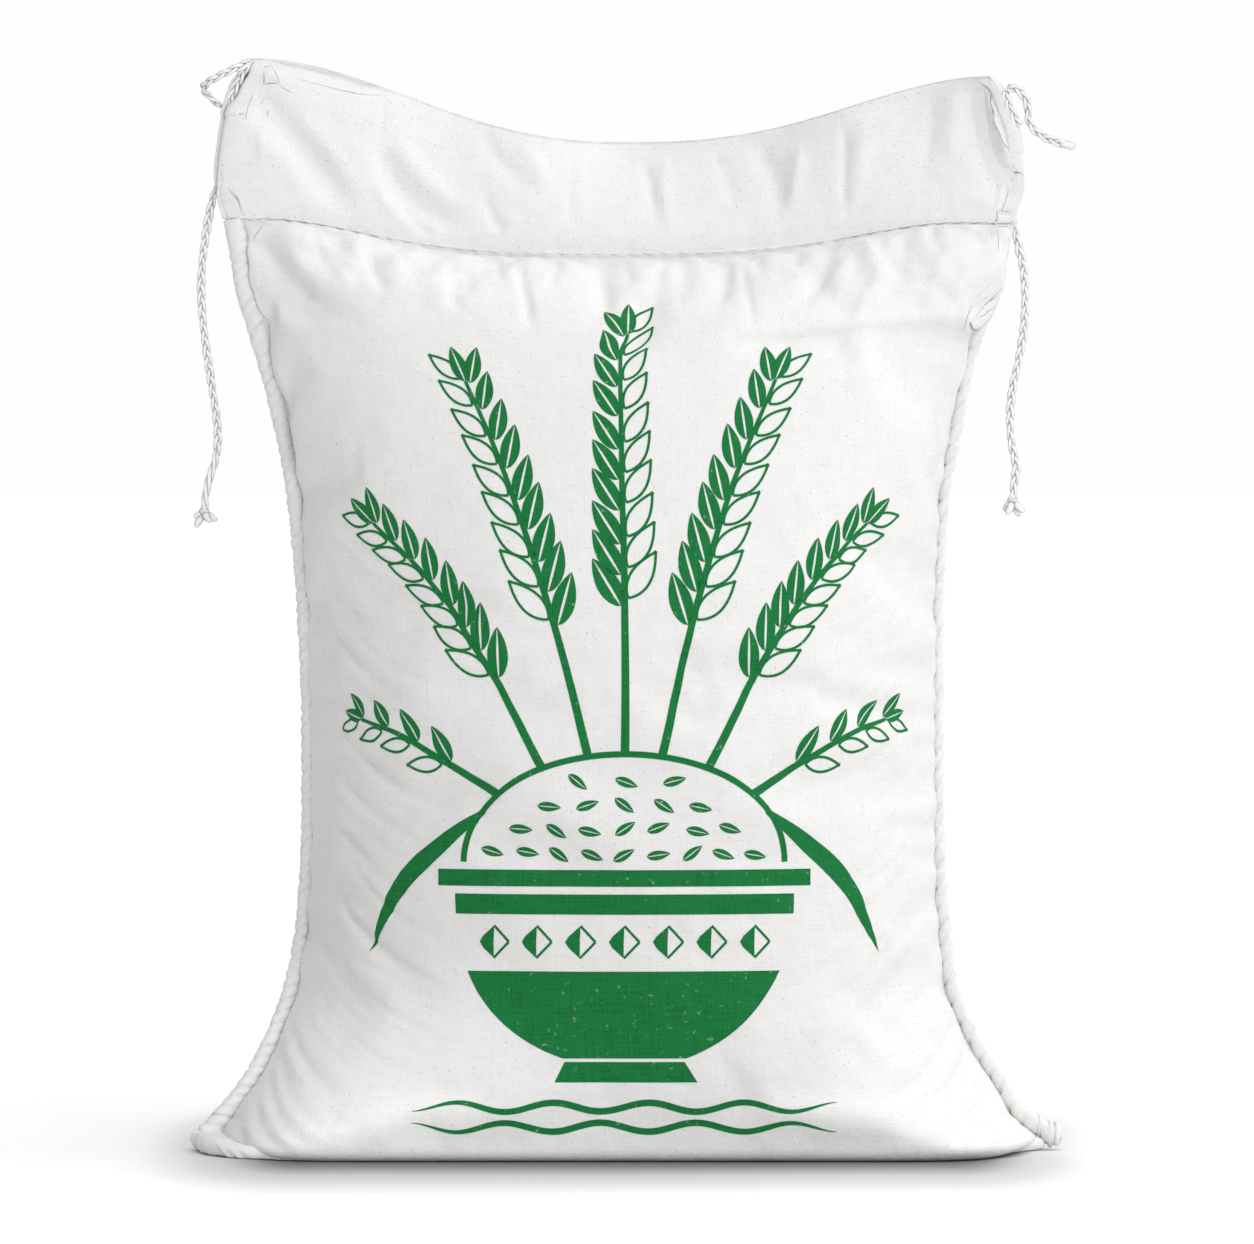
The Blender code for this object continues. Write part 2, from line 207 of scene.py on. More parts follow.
def welt_half_width(side, level):
    """How far the rolled seam reaches either side of its middle, seen from the front."""
    flat = smooth_step(level, *FLAT_SEAM[side])
    slim = 0.6 * MM * smooth_step(level, 0.08, 0.16) if side == RIGHT else 0.0
    return (welt_radius(level) - slim) * (1 - flat) + FLAT_SEAM_HALF_WIDTH[side] * flat


def cloth_edge(side, level, face=BACK):
    """The cloth runs out to the inner side of the rolled seam, and the casing to the whole outline."""
    seam = WELT_SHOWS * welt_half_width(side, level) * (1 - smooth_step(level, *SEAM_TO_CASING[side]))
    edge = inside_edge(side, np.maximum(level, CORNER_HEIGHT), seam) + through(CORNER_SHAPE[side], level)
    if (side, face) == (LEFT, FRONT):
        opens, open_low, open_high, shuts = CASING_OPENS
        inset = BACK_SHOWS * smooth_step(level, *BACK_SHOWS_FROM)
        inset = inset + (CASING_OPENING - BACK_SHOWS) * smooth_step(level, opens, open_low)
        edge = edge - inset * (1 - smooth_step(level, open_high, shuts))
    return edge


def middle_surface(x, across, height):
    """How far back the middle of the cloth layers is: the mouth leans, and waves."""
    share = smooth_step(height, STITCH_HEIGHT, MOUTH_HEIGHT) * (1 - across**6)
    wave = sum(size * np.sin(2 * math.pi * x / length + phase) for size, length, phase in WAVES)
    return through(LEAN, height) * (1 - across**2) + share * wave


def row_level(across, height):
    """How high a row is at a place across it: level in the middle, and climbing towards each seam."""
    level = np.zeros(np.broadcast(across, height).shape)
    for side in (LEFT, RIGHT):
        at_stitch, at_mouth = RISE_DELAY[side]
        delay = through(((STITCH_HEIGHT, at_stitch), (MOUTH_HEIGHT, at_mouth)), height)
        ends = through(tuple(zip((STITCH_HEIGHT, MOUTH_HEIGHT), RISE_ENDS[side])), height)
        share = np.minimum(np.abs(across) / ends, 1.0)
        climb = rise(side, height) * np.sin(math.pi / 2 * share ** delay) ** 2
        level = np.where(across * side > 0, climb, level)
    return height + level


def cloth_point(across, height, face):
    """Points of the bag's outer cloth. Below height 0 the cloth turns in under the base."""
    under = np.clip(-height / BASE_DEPTH, 0.0, 1.0)
    up = np.maximum(height, 0.0)
    left = cloth_edge(LEFT, up + rise(LEFT, up), face)
    right = cloth_edge(RIGHT, up + rise(RIGHT, up), face)
    x = (right - left) / 2 + across * (right + left) / 2
    shape = np.maximum(0.0, 1 - np.abs(across) ** through(FLATNESS, up)) ** through(BLUNTNESS, up)
    thickness = through(HALF_DEPTH, up) * shape * (1 - under)
    y = face * thickness + middle_surface(x, across, up)
    return np.stack(np.broadcast_arrays(x, y, row_level(across, up)), axis=-1)


def lengths_along(points, axis=0):
    """Distance walked along one axis of a grid of points."""
    steps = np.linalg.norm(np.diff(points, axis=axis), axis=-1)
    start = np.zeros_like(np.take(steps, [0], axis=axis))
    return np.concatenate((start, np.cumsum(steps, axis=axis)), axis=axis)


def sampled(values, walked, at):
    """Rows of values, which belong to distances walked along a line, at other distances."""
    return np.stack([np.interp(at, walked, column) for column in values.T], axis=-1)


def make_material(name, roughness, sheen):
    material = bpy.data.materials.new(name)
    material.use_nodes = True
    shader = material.node_tree.nodes["Principled BSDF"]
    for socket, value in (("Roughness", roughness), ("Sheen Weight", sheen), ("Specular IOR Level", 0.25)):
        shader.inputs[socket].default_value = value
    return material, material.node_tree


def finish_material(material, colour, layers=()):
    """Give a material its colour and a stack of bumps, each of a height, a strength and a real depth."""
    tree = material.node_tree
    shader = tree.nodes["Principled BSDF"]
    tree.links.new(colour, shader.inputs["Base Color"])
    below = {}
    for height, strength, depth in layers:
        inputs = {"Height": height, "Strength": strength, "Distance": depth, **below}
        below = {"Normal": add_node(tree, "ShaderNodeBump", inputs).outputs["Normal"]}
    if below:
        tree.links.new(below["Normal"], shader.inputs["Normal"])
    return material


def add_node(tree, kind, inputs, **settings):
    """A node whose inputs are joined to other nodes' outputs, or set to plain values."""
    node = tree.nodes.new(kind)
    for name, value in settings.items():
        setattr(node, name, value)
    for name, value in inputs.items():
        if isinstance(value, bpy.types.NodeSocket):
            tree.links.new(value, node.inputs[name])
        else:
            node.inputs[name].default_value = value
    return node


def math_node(tree, operation, *values):
    return add_node(tree, "ShaderNodeMath", dict(enumerate(values)), operation=operation).outputs[0]


def noise_node(tree, place, scale, detail):
    return add_node(tree, "ShaderNodeTexNoise", {"Vector": place, "Scale": scale, "Detail": detail})


def separated(tree, vector):
    """A vector's three numbers, as outputs."""
    return add_node(tree, "ShaderNodeSeparateXYZ", {0: vector}).outputs


def cloth_place(tree):
    """Where a point lies on its own piece of cloth, in metres across and up."""
    return add_node(tree, "ShaderNodeUVMap", {}, uv_map="cloth").outputs[0]


def map_range(tree, value, low, high, to_low, to_high):
    inputs = {"Value": value, "From Min": low, "From Max": high, "To Min": to_low, "To Max": to_high}
    node = add_node(tree, "ShaderNodeMapRange", inputs, interpolation_type="SMOOTHSTEP")
    return node.outputs["Result"]


WEAVE_PITCH = 0.92 * MM
WEAVE_WANDER = (1.0 * MM, 1.0 * MM, 0.0)
SLUB_STRETCHES = ((1100.0, 60.0, 1.0), (60.0, 1100.0, 1.0))


def weave_height(tree, place):
    """The plain weave's relief: a bump where threads cross, plainer in some patches than in others."""
    wander = noise_node(tree, place, 80.0, 2.0).outputs["Color"]
    inputs = {0: wander, 1: WEAVE_WANDER, 2: place}
    shifted = add_node(tree, "ShaderNodeVectorMath", inputs, operation="MULTIPLY_ADD").outputs[0]
    waves = []
    for axis in (0, 1):
        angle = math_node(tree, "MULTIPLY", separated(tree, shifted)[axis], math.pi / WEAVE_PITCH)
        waves.append(math_node(tree, "SINE", angle))
    crossing = math_node(tree, "MULTIPLY", *waves)
    bumps = math_node(tree, "MULTIPLY", crossing, crossing)
    return math_node(tree, "MULTIPLY", bumps, noise_node(tree, place, 110.0, 3.0).outputs["Fac"])


def slub_height(tree, place):
    """Thicker stretches of single threads, along the cloth and across it."""
    slubs = []
    for stretch in SLUB_STRETCHES:
        scaled = add_node(tree, "ShaderNodeVectorMath", {0: place, 1: stretch}, operation="MULTIPLY")
        slubs.append(noise_node(tree, scaled.outputs[0], 1.0, 1.0).outputs["Fac"])
    return math_node(tree, "ADD", *slubs)


def crumple_height(tree, scale, detail=4.0):
    """Noise of the same real size on every piece."""
    place = add_node(tree, "ShaderNodeTexCoord", {}).outputs["Object"]
    return noise_node(tree, place, scale, detail).outputs["Fac"]


def tint(tree, fac, low, high, low_at=0.3, high_at=0.7):
    """A colour that runs from low to high as a value climbs."""
    ramp = add_node(tree, "ShaderNodeValToRGB", {"Fac": fac})
    for stop, colour, at in zip(ramp.color_ramp.elements, (low, high), (low_at, high_at)):
        stop.position = at
        stop.color = (*colour, 1.0)
    return ramp.outputs["Color"]


def mix_colours(tree, share, first, second, blend="MIX"):
    inputs = {"Factor": share, "A": first, "B": second}
    mix = add_node(tree, "ShaderNodeMix", inputs, data_type="RGBA", blend_type=blend)
    return mix.outputs["Result"]


def cotton_material():
    """Bleached cotton, with small darker flecks of husk in it."""
    material, tree = make_material("cotton", 0.92, 0.10)
    place = cloth_place(tree)
    slubs = slub_height(tree, place)
    cloth = tint(tree, slubs, (0.705, 0.70, 0.69), (0.735, 0.73, 0.722), 0.75, 1.15)
    flecks = noise_node(tree, place, 800.0, 0.0).outputs["Fac"]
    fleck = tint(tree, flecks, (1.0, 1.0, 1.0), (0.74, 0.73, 0.71), 0.75, 0.82)
    return finish_material(material, mix_colours(tree, 1.0, cloth, fleck, "MULTIPLY"), (
        (crumple_height(tree, 55.0), 0.40, 0.9 * MM),
        (crumple_height(tree, 210.0, 6.0), 0.66, 0.52 * MM),
        (slubs, 0.35, 0.12 * MM),
        (crumple_height(tree, 900.0, 1.0), 0.50, 0.16 * MM),
        (weave_height(tree, place), 1.0, 0.19 * MM),
    ))


def ink_material():
    """Green ink that the weave shows through, worn off in small spots."""
    material, tree = make_material("ink", 0.9, 0.0)
    place = cloth_place(tree)
    slubs = slub_height(tree, place)
    colour = tint(tree, slubs, (0.003, 0.125, 0.026), (0.006, 0.160, 0.038), 0.75, 1.15)
    worn = tint(tree, crumple_height(tree, 420.0, 3.0), (0, 0, 0), (0.5, 0.5, 0.5), 0.66, 0.78)
    colour = mix_colours(tree, worn, colour, (0.42, 0.55, 0.44, 1.0))
    layers = ((slubs, 0.30, 0.10 * MM), (weave_height(tree, place), 0.6, 0.11 * MM))
    return finish_material(material, colour, layers)


def seam_material():
    material, tree = make_material("seam_cotton", 0.94, 0.10)
    crumple = crumple_height(tree, 300.0)
    colour = tint(tree, crumple, (0.68, 0.675, 0.66), (0.73, 0.725, 0.715))
    layers = ((crumple, 0.9, 0.50 * MM), (crumple_height(tree, 1300.0, 2.0), 0.4, 0.10 * MM))
    return finish_material(material, colour, layers)


def shade_strip_material():
    """Painted shade: dark grey strips that stand for the gaps beside sewn edges, too thin for the cloth's
    own grid.
    """
    material, tree = make_material("shade_strip", 0.95, 0.0)
    patchy = crumple_height(tree, 260.0)
    return finish_material(material, tint(tree, patchy, (0.28, 0.275, 0.26), (0.56, 0.55, 0.535)))


CORD_FIBRES = (900.0, 2.0)
CORD_BUMP = (0.15, 0.04 * MM)


def thread_material():
    material, tree = make_material("cord", 0.9, 0.12)
    fibres = crumple_height(tree, *CORD_FIBRES)
    colour = tint(tree, fibres, (0.74, 0.74, 0.73), (0.79, 0.79, 0.78))
    return finish_material(material, colour, ((fibres, *CORD_BUMP),))


def painted_shade_braid_material():
    """The cords' cotton, with painted shade: darker where one strand meets the next and along each strand's
    sides.
    """
    material, tree = make_material("braid", 0.9, 0.12)
    # The map's second number is painted shade, low in the grooves between strands and at their sides.
    shade = separated(tree, cloth_place(tree))["Y"]
    colour = tint(tree, shade, (0.27, 0.27, 0.265), (0.80, 0.80, 0.79), 0.0, 1.0)
    return finish_material(material, colour, ((crumple_height(tree, *CORD_FIBRES), *CORD_BUMP),))


def make_piece(name, points, faces, material, slot, uv=None):
    """A smooth mesh piece that rides on the bag. uv holds one pair for each point."""
    mesh = bpy.data.meshes.new(name)
    mesh.from_pydata(np.asarray(points).tolist(), [], faces)
    mesh.validate()
    if uv is not None:
        layer = mesh.uv_layers.new(name="cloth")
        corners = np.empty(len(mesh.loops), dtype=np.int32)
        mesh.loops.foreach_get("vertex_index", corners)
        layer.data.foreach_set("uv", np.asarray(uv)[corners].astype(np.float32).ravel())
    mesh.materials.append(material)
    mesh.shade_smooth()
    piece = bpy.data.objects.new(name, mesh)
    bpy.context.scene.collection.objects.link(piece)
    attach(piece, "root")
    return piece


def grid_faces(rows, columns, turned=False, around=False):
    """Quads of a grid of points, counted row by row. around joins the last column to the first."""
    last = columns if around else columns - 1
    faces = []
    for i in range(rows - 1):
        for j in range(last):
            k = (j + 1) % columns
            quad = (i * columns + j, i * columns + k, (i + 1) * columns + k, (i + 1) * columns + j)
            faces.append(quad[::-1] if turned else quad)
    return faces


def route(points, step):
    """Points a step apart on the smooth curve through a route's own points."""
    points = np.array(points, dtype=float)
    ends = 2 * points[[0, -1]] - points[[1, -2]]
    knots = np.vstack((ends[0], points, ends[1]))
    t = np.linspace(0, 1, 16, endpoint=False)[:, None]
    fine = []
    for a, b, c, d in zip(knots, knots[1:], knots[2:], knots[3:]):
        fine.append(0.5 * (2 * b + (c - a) * t + (2 * a - 5 * b + 4 * c - d) * t**2
                           + (3 * b - a - 3 * c + d) * t**3))
    fine = np.vstack((*fine, points[-1:]))
    walked = lengths_along(fine)
    count = max(3, round(walked[-1] / step))
    return sampled(fine, walked, np.linspace(0, walked[-1], count + 1))


def flat_route(line, step):
    """The same for a line of pairs, such as places across and up a cloth."""
    return route([(across, 0.0, up) for across, up in line], step)[:, [0, 2]]


def nearest_on(path, points):
    """Which point of a path lies nearest to each of some points."""
    return np.linalg.norm(points[:, None] - path[None], axis=-1).argmin(axis=1)


def frames_along(path):
    """For each point of a path, two directions square to it that don't twist from point to point."""
    tangents = np.gradient(path, axis=0)
    tangents /= np.linalg.norm(tangents, axis=1)[:, None]
    first = np.cross(tangents[0], (0.0, 1.0, 0.0))
    sides = [first / np.linalg.norm(first)]
    for tangent in tangents[1:]:
        side = sides[-1] - tangent * np.dot(sides[-1], tangent)
        sides.append(side / np.linalg.norm(side))
    sides = np.array(sides)
    return tangents, sides, np.cross(tangents, sides)


CAP_TURNS = np.radians((25, 50, 72))


def tube_faces(rows, sides):
    """Faces of rings of points, one after another, closed at both ends."""
    faces = grid_faces(rows, sides, around=True)
    faces.append(tuple(range(sides))[::-1])
    faces.append(tuple(range((rows - 1) * sides, rows * sides)))
    return faces


def tube(path, radii, sides=10):
    """Points and faces of a tube with round ends. radii is one number, or one for each point."""
    radii = np.broadcast_to(radii, len(path)).astype(float)
    tangents, out, over = frames_along(path)
    caps = []
    for end, sign in ((0, -1), (-1, 1)):
        reach = path[end] + sign * radii[end] * np.sin(CAP_TURNS)[:, None] * tangents[end]
        caps.append((reach, radii[end] * np.cos(CAP_TURNS)))
    path = np.vstack((caps[0][0][::-1], path, caps[1][0]))
    radii = np.concatenate((caps[0][1][::-1], radii, caps[1][1]))
    pad = ((len(CAP_TURNS), len(CAP_TURNS)), (0, 0))
    out, over = np.pad(out, pad, mode="edge"), np.pad(over, pad, mode="edge")
    angle = np.linspace(0, 2 * math.pi, sides, endpoint=False)
    ring = np.cos(angle)[None, :, None] * out[:, None] + np.sin(angle)[None, :, None] * over[:, None]
    points = path[:, None] + ring * radii[:, None, None]
    return points.reshape(-1, 3), tube_faces(len(path), sides)


def join_shapes(shapes):
    """One list of points and one of faces from several."""
    points, faces, count = [], [], 0
    for shape_points, shape_faces in shapes:
        points.append(shape_points)
        faces.extend(tuple(k + count for k in face) for face in shape_faces)
        count += len(shape_points)
    return np.vstack(points), faces


# How a strand's painted shade lightens: with a point's depth before or behind the strand's middle, as a
# share of its radius, and with its distance outside the next strand.
SIDE_SHADE = (0.10, 0.85)
GROOVE_SHADE = (-0.10 * MM, 0.42 * MM)


def shaded_tubes(tubes):
    """Tubes, each a path, radii and sides, as one shape with a pair for each point: its second number
    is the point's painted shade, a lightness that is low in the grooves between the tubes and at their
    sides."""
    shapes, shades = [], []
    for k, (path, radii, sides) in enumerate(tubes):
        points, faces = tube(path, radii, sides)
        nearest = nearest_on(path, points)
        radius = np.broadcast_to(radii, len(path))[nearest]
        shade = smooth_step(np.abs(points[:, 1] - path[nearest, 1]) / radius, *SIDE_SHADE)
        for other_path, other_radii, _ in tubes[:k] + tubes[k + 1:]:
            apart = np.linalg.norm(points[:, None] - other_path[None], axis=-1) - other_radii
            shade = np.minimum(shade, smooth_step(apart.min(axis=1), *GROOVE_SHADE))
        shapes.append((points, faces))
        shades.append(np.stack((np.zeros(len(shade)), shade), axis=-1))
    return *join_shapes(shapes), np.vstack(shades)


PLAIT_PITCH = 17.5 * MM
PLAIT_SWING = 1.10 * MM
PLAIT_DEPTH = 0.62 * MM
STRAND_RADIUS = 0.78 * MM
STRAND_SIDES = 12
TWIST_PITCH = 20 * MM
TWIST_SWING = 0.85 * MM
TWISTS_OVER = 12 * MM
SLACK_PITCH = 31 * MM
LUMP_PITCH = 2.3 * MM
CORD_STEP = 0.6 * MM


def plait(path, seed, twists_from=None):
    """Three loose strands plaited along a path, and only twisted from some distance down it."""
    rng = np.random.default_rng(seed)
    walked = lengths_along(path)
    twisted = 0.0 if twists_from is None else smooth_step(walked, twists_from, twists_from + TWISTS_OVER)
    out, over = frames_along(path)[1:]
    slack = 1 + 0.14 * np.sin(2 * math.pi * walked / SLACK_PITCH + rng.uniform(0, 6))
    tubes = []
    for strand in range(3):
        phase = 2 * math.pi * (walked / PLAIT_PITCH + strand / 3)
        turn = 2 * math.pi * (walked / TWIST_PITCH + strand / 3)
        swing = PLAIT_SWING * slack * np.sin(phase) * (1 - twisted) + TWIST_SWING * np.sin(turn) * twisted
        depth = PLAIT_DEPTH * np.sin(2 * phase) * (1 - twisted) + TWIST_SWING * np.cos(turn) * twisted
        centre = path + swing[:, None] * out + depth[:, None] * over
        thickness = STRAND_RADIUS * (1 + 0.08 * np.sin(walked / LUMP_PITCH + rng.uniform(0, 6)))
        tubes.append((centre, thickness * (1 + 0.18 * twisted), STRAND_SIDES))
    # Each point carries painted shade for the cords' material: darker in grooves and at the strands' sides.
    return shaded_tubes(tubes)


def lobe(start, heading, length, radius, curl):
    """The thick soft end of one strand, cut blunt, as a path, radii and sides."""
    s = np.linspace(0, 1, 16)[:, None]
    line = start + s * length * heading + curl * s**2
    swell = 0.72 + 0.42 * np.sin(math.pi * np.minimum(s[:, 0] * 0.75 + 0.12, 1.0))
    return line, radius * swell, STRAND_SIDES


# The knots: the thread's turns, its coil's half width, half depth and height, and its own radius;
# the lump that it ties; and each lobe's lean to the side and to the front, with its length in
# millimetres.
KNOT_TURNS, KNOT_STEPS = 2.5, 60
KNOT_COIL = (1.75 * MM, 1.55 * MM, 1.7 * MM)
KNOT_THREAD_RADIUS = 0.55 * MM
KNOT_LUMP = {"above": 0.6 * MM, "length": 3.6 * MM, "radius": 1.6 * MM}
LOBE_RADIUS = 1.42 * MM
LOBES_BEGIN = 1.2 * MM
LOBES = {
    LEFT: ((-0.62, 0.10, 6.2), (0.45, -0.60, 4.0), (1.30, 0.10, 4.8), (-1.70, 0.30, 3.4)),
    RIGHT: ((-1.00, 0.00, 4.6), (-0.30, -0.45, 5.4), (0.36, 0.40, 6.2), (0.95, -0.15, 5.6)),
}


def knot_shape(end, side, seed):
    """A cord's end tied round with a thread, so that its strands splay out below as soft lobes."""
    rng = np.random.default_rng(seed)
    turn = np.linspace(0, 2 * math.pi * KNOT_TURNS, KNOT_STEPS)
    half_width, half_depth, height = KNOT_COIL
    coil = (half_width * np.cos(turn), half_depth * np.sin(turn), -np.linspace(0.0, height, KNOT_STEPS))
    down = np.array((0, 0, -1.0))
    lump = lobe(end - down * KNOT_LUMP["above"], down, KNOT_LUMP["length"], KNOT_LUMP["radius"], 0)
    tubes = [(end + np.stack(coil, axis=-1), KNOT_THREAD_RADIUS, 8), lump]
    for side_lean, front_lean, length in LOBES[side]:
        heading = np.array((side_lean, front_lean, -1.0))
        heading /= np.linalg.norm(heading)
        curl = np.array((rng.uniform(-0.6, 0.6), rng.uniform(-0.5, 0.5), 0.3)) * MM
        start = end + down * LOBES_BEGIN + heading * 0.6 * MM
        tubes.append(lobe(start, heading, length * MM, LOBE_RADIUS, curl))
    # Each point carries painted shade for the cords' material: darker in grooves and at the lobes' sides.
    return shaded_tubes(tubes)


TWISTS_FROM = {"tail_left": 0.115}
FAR_ENDS = {"tail_left": "knot", "tail_right": "knot", "loop_left": "object", "loop_right": "bare"}
BINDING_RADIUS = 1.75 * MM
INNER_CORDS = {
    "inner_cord_left": (
        (-0.1655, -0.0020, 0.4790), (-0.1690, -0.0005, 0.4735), (-0.1722, 0.0008, 0.4672),
        (-0.1742, 0.0012, 0.4620),
    ),
    "inner_cord_right": (
        (0.1664, -0.0010, 0.4650), (0.1676, -0.0012, 0.4600), (0.1698, -0.0012, 0.4550),
        (0.1722, -0.0008, 0.4510),
    ),
}


def make_inner_cords(material):
    """The stretch of drawstring that shows inside each end of the casing."""
    for seed, (name, points) in enumerate(INNER_CORDS.items()):
        points, faces, shades = plait(route(points, CORD_STEP), 50 + seed)
        make_piece(name, points, faces, material, "cord", shades)


def make_cords(material):
    """The two hanging ends with their stopper knots, and the two loops at the top corners."""
    for seed, (name, points) in enumerate(CORD_ROUTES.items()):
        path = route(points, CORD_STEP)
        surface, faces, shades = plait(path, seed, TWISTS_FROM.get(name))
        if FAR_ENDS[name] == "bare":
            binding = shaded_tubes([(route(points[-3:], CORD_STEP)[-9:-2], BINDING_RADIUS, STRAND_SIDES)])
            surface, faces = join_shapes(((surface, faces), binding[:2]))
            shades = np.vstack((shades, binding[2]))
        cord = make_piece(name + "_cord", surface, faces, material, "cord", shades)
        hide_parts(name)
        if FAR_ENDS[name] == "knot":
            side = LEFT if points[0][0] < 0 else RIGHT
            surface, faces, shades = knot_shape(np.array(points[-1]), side, 40 + seed)
            knot = make_piece(f"knot_{SIDE_NAMES[side]}", surface, faces, material, "cord", shades)
            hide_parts(f"tail_knot_{SIDE_NAMES[side]}")


LATTICE = 64


def lattice_noise(x, y, size, seed):
    """Smooth noise between -1 and 1 whose lumps are size across."""
    table = np.random.default_rng(seed).uniform(-1, 1, (LATTICE, LATTICE))
    u, v = x / size + LATTICE / 2, y / size + LATTICE / 2
    i, j = np.floor(u).astype(int), np.floor(v).astype(int)
    along, up = (part * part * (3 - 2 * part) for part in (u - i, v - j))
    rows = []
    for b in (0, 1):
        low, high = (table[(i + a) % LATTICE, (j + b) % LATTICE] for a in (0, 1))
        rows.append(low * (1 - along) + high * along)
    return rows[0] * (1 - up) + rows[1] * up


def distance_to_line(x, z, line):
    """Distance from each point to a line of (x, z) points, and how far along the line that is."""
    walked = lengths_along(line)
    best = np.full(x.shape, np.inf)
    along = np.zeros(x.shape)
    for a, b, start in zip(line, line[1:], walked):
        step = b - a
        size = np.hypot(*step)
        t = np.clip(((x - a[0]) * step[0] + (z - a[1]) * step[1]) / size**2, 0, 1)
        distance = np.hypot(x - a[0] - t * step[0], z - a[1] - t * step[1])
        nearer = distance < best
        best = np.where(nearer, distance, best)
        along = np.where(nearer, (start + t * size) / walked[-1], along)
    return best, along


FOLD_STEPS = 14


def bend_line(line):
    """A smooth line in equal steps through a few (x, z) points."""
    length = lengths_along(flat_route(line, 1.0))[-1]
    return flat_route(line, max(0.1 * MM, length / FOLD_STEPS))


def add_fold(relief, x, z, line, width, height, grow=0.25, fade=0.35):
    """Add a ridge, or a hollow where height is negative, along a line that grows in and fades out."""
    line = bend_line(line)
    margin = 3 * width
    low, high = line.min(axis=0) - margin, line.max(axis=0) + margin
    near = (x > low[0]) & (x < high[0]) & (z > low[1]) & (z < high[1])
    distance, along = distance_to_line(x[near], z[near], line)
    taper = smooth_step(along, 0, grow) * (1 - smooth_step(along, 1 - fade, 1))
    relief[near] += height * np.exp(-((distance / width) ** 2)) * taper


ROWS_UNDER, ROWS_BODY, ROWS_NECK, ROWS_STITCH, ROWS_BAND, ROWS_FOLD, ROWS_INSIDE = 14, 206, 44, 24, 40, 8, 10
COLUMNS = {FRONT: 310, BACK: 190}
NECK_BEGINS = 0.352
STITCH_REACH = 0.0035
RIM_DIP = 2.2 * MM
RIM_DIP_FROM, RIM_DIP_TO = (-0.161, -0.150), (-0.118, -0.102)
FOLD_RADIUS = 0.9 * MM
INSIDE_GAP = 0.7 * MM


def cloth_rows():
    """Heights of the cloth's rows, evenly spaced along the cloth in each stretch."""
    fine = np.linspace(0, MOUTH_HEIGHT, 900)
    walked = lengths_along(cloth_point(0.0, fine, FRONT), 0)
    stretches = [np.linspace(-BASE_DEPTH, 0, ROWS_UNDER, endpoint=False)]
    marks = (0.0, NECK_BEGINS, STITCH_HEIGHT - STITCH_REACH, STITCH_HEIGHT + STITCH_REACH, MOUTH_HEIGHT)
    for low, high, count in zip(marks, marks[1:], (ROWS_BODY, ROWS_NECK, ROWS_STITCH, ROWS_BAND)):
        ends = np.interp((low, high), fine, walked)
        stretches.append(np.interp(np.linspace(*ends, count, endpoint=False), walked, fine))
    return np.concatenate((*stretches, [MOUTH_HEIGHT]))


def cloth_columns(face):
    """Places across the cloth, evenly spaced along it at half its height."""
    fine = np.sin(np.linspace(-math.pi / 2, math.pi / 2, 1200))
    walked = lengths_along(cloth_point(fine, STITCH_HEIGHT / 2, FRONT), 0)
    return np.interp(np.linspace(0, walked[-1], COLUMNS[face]), walked, fine)


class Panel:
    """One side's cloth as a grid of points. u runs across it and v up it, in metres along the cloth."""

    def __init__(self, face):
        self.face = face
        self.name = FACE_NAMES[face]
        self.heights = cloth_rows()
        self.columns = cloth_columns(face)
        self.middle = len(self.columns) // 2
        self.points = cloth_point(self.columns[None, :], self.heights[:, None], face)
        self.measure()

    def measure(self):
        self.u = lengths_along(self.points, 1)
        self.u -= self.u[:, [self.middle]]
        walked = lengths_along(self.points[:, self.middle])
        self.v = walked - np.interp(0.0, self.heights, walked)
        along, up = np.gradient(self.points, axis=1), np.gradient(self.points, axis=0)
        normals = np.cross(along, up) * -self.face
        self.normals = normals / np.maximum(np.linalg.norm(normals, axis=-1), 1e-12)[..., None]

    def v_at(self, height):
        return float(np.interp(height, self.heights, self.v))

    def from_edge(self):
        """How far each point lies from the nearer side of the cloth."""
        return np.minimum(self.u - self.u[:, :1], self.u[:, -1:] - self.u)

    def edge_places(self, side, low, high, inset):
        """(u, v) places beside one edge of the cloth, between two levels above the floor."""
        edge = 0 if side == LEFT else -1
        level = self.points[:, edge, 2]
        rows = np.flatnonzero((low < level) & (level < high) & (self.heights > 0))
        return np.stack((self.u[rows, edge] - side * inset, self.v[rows]), axis=-1)

    def place_of(self, pixel):
        """The (u, v) of the point of the cloth that is nearest to a pixel of the photograph."""
        x, z = from_photo(*pixel)
        far = np.hypot(self.points[..., 0] - x, self.points[..., 2] - z)
        i, j = np.unravel_index(np.argmin(far), far.shape)
        past = self.points[i, j]
        return np.array((self.u[i, j] + x - past[0], self.v[i] + z - past[2]))

    def at(self, u, v, lift=0.0):
        """Points on the cloth, lifted off it, at places u across it and v up it."""
        u, v, lift = (part.ravel() for part in np.broadcast_arrays(u, v, lift))
        rows = np.interp(v, self.v, np.arange(len(self.v)))
        i = np.minimum(rows.astype(int), len(self.v) - 2)
        up = (rows - i)[:, None]
        blended = self.u[i] * (1 - up) + self.u[i + 1] * up
        places = np.arange(self.u.shape[1])
        columns = np.array([np.interp(one, line, places) for one, line in zip(u, blended)])
        j = np.minimum(columns.astype(int), len(places) - 2)
        along = (columns - j)[:, None]

        def between(grid):
            low = grid[i, j] * (1 - along) + grid[i, j + 1] * along
            high = grid[i + 1, j] * (1 - along) + grid[i + 1, j + 1] * along
            return low * (1 - up) + high * up

        normals = between(self.normals)
        normals /= np.linalg.norm(normals, axis=1)[:, None]
        return between(self.points) + normals * lift[:, None]


STITCH_PITCH = 7.6 * MM
STITCH_LENGTH = 4.6 * MM
THREAD_RADIUS = 0.34 * MM
# How far a stitch's thread lies off the cloth, from one end to the other, in its own radii.
THREAD_LIFTS = np.array((-2.6, -0.3, 0.55, 0.75, 0.55, -0.3, -2.6))


def from_photo(x, y):
    """Where a pixel of the photograph lies on the bag's front, as metres across and up."""
    return (x - PHOTO_WIDTH / 2) * PIXEL, (FLOOR_PIXEL - y) * PIXEL


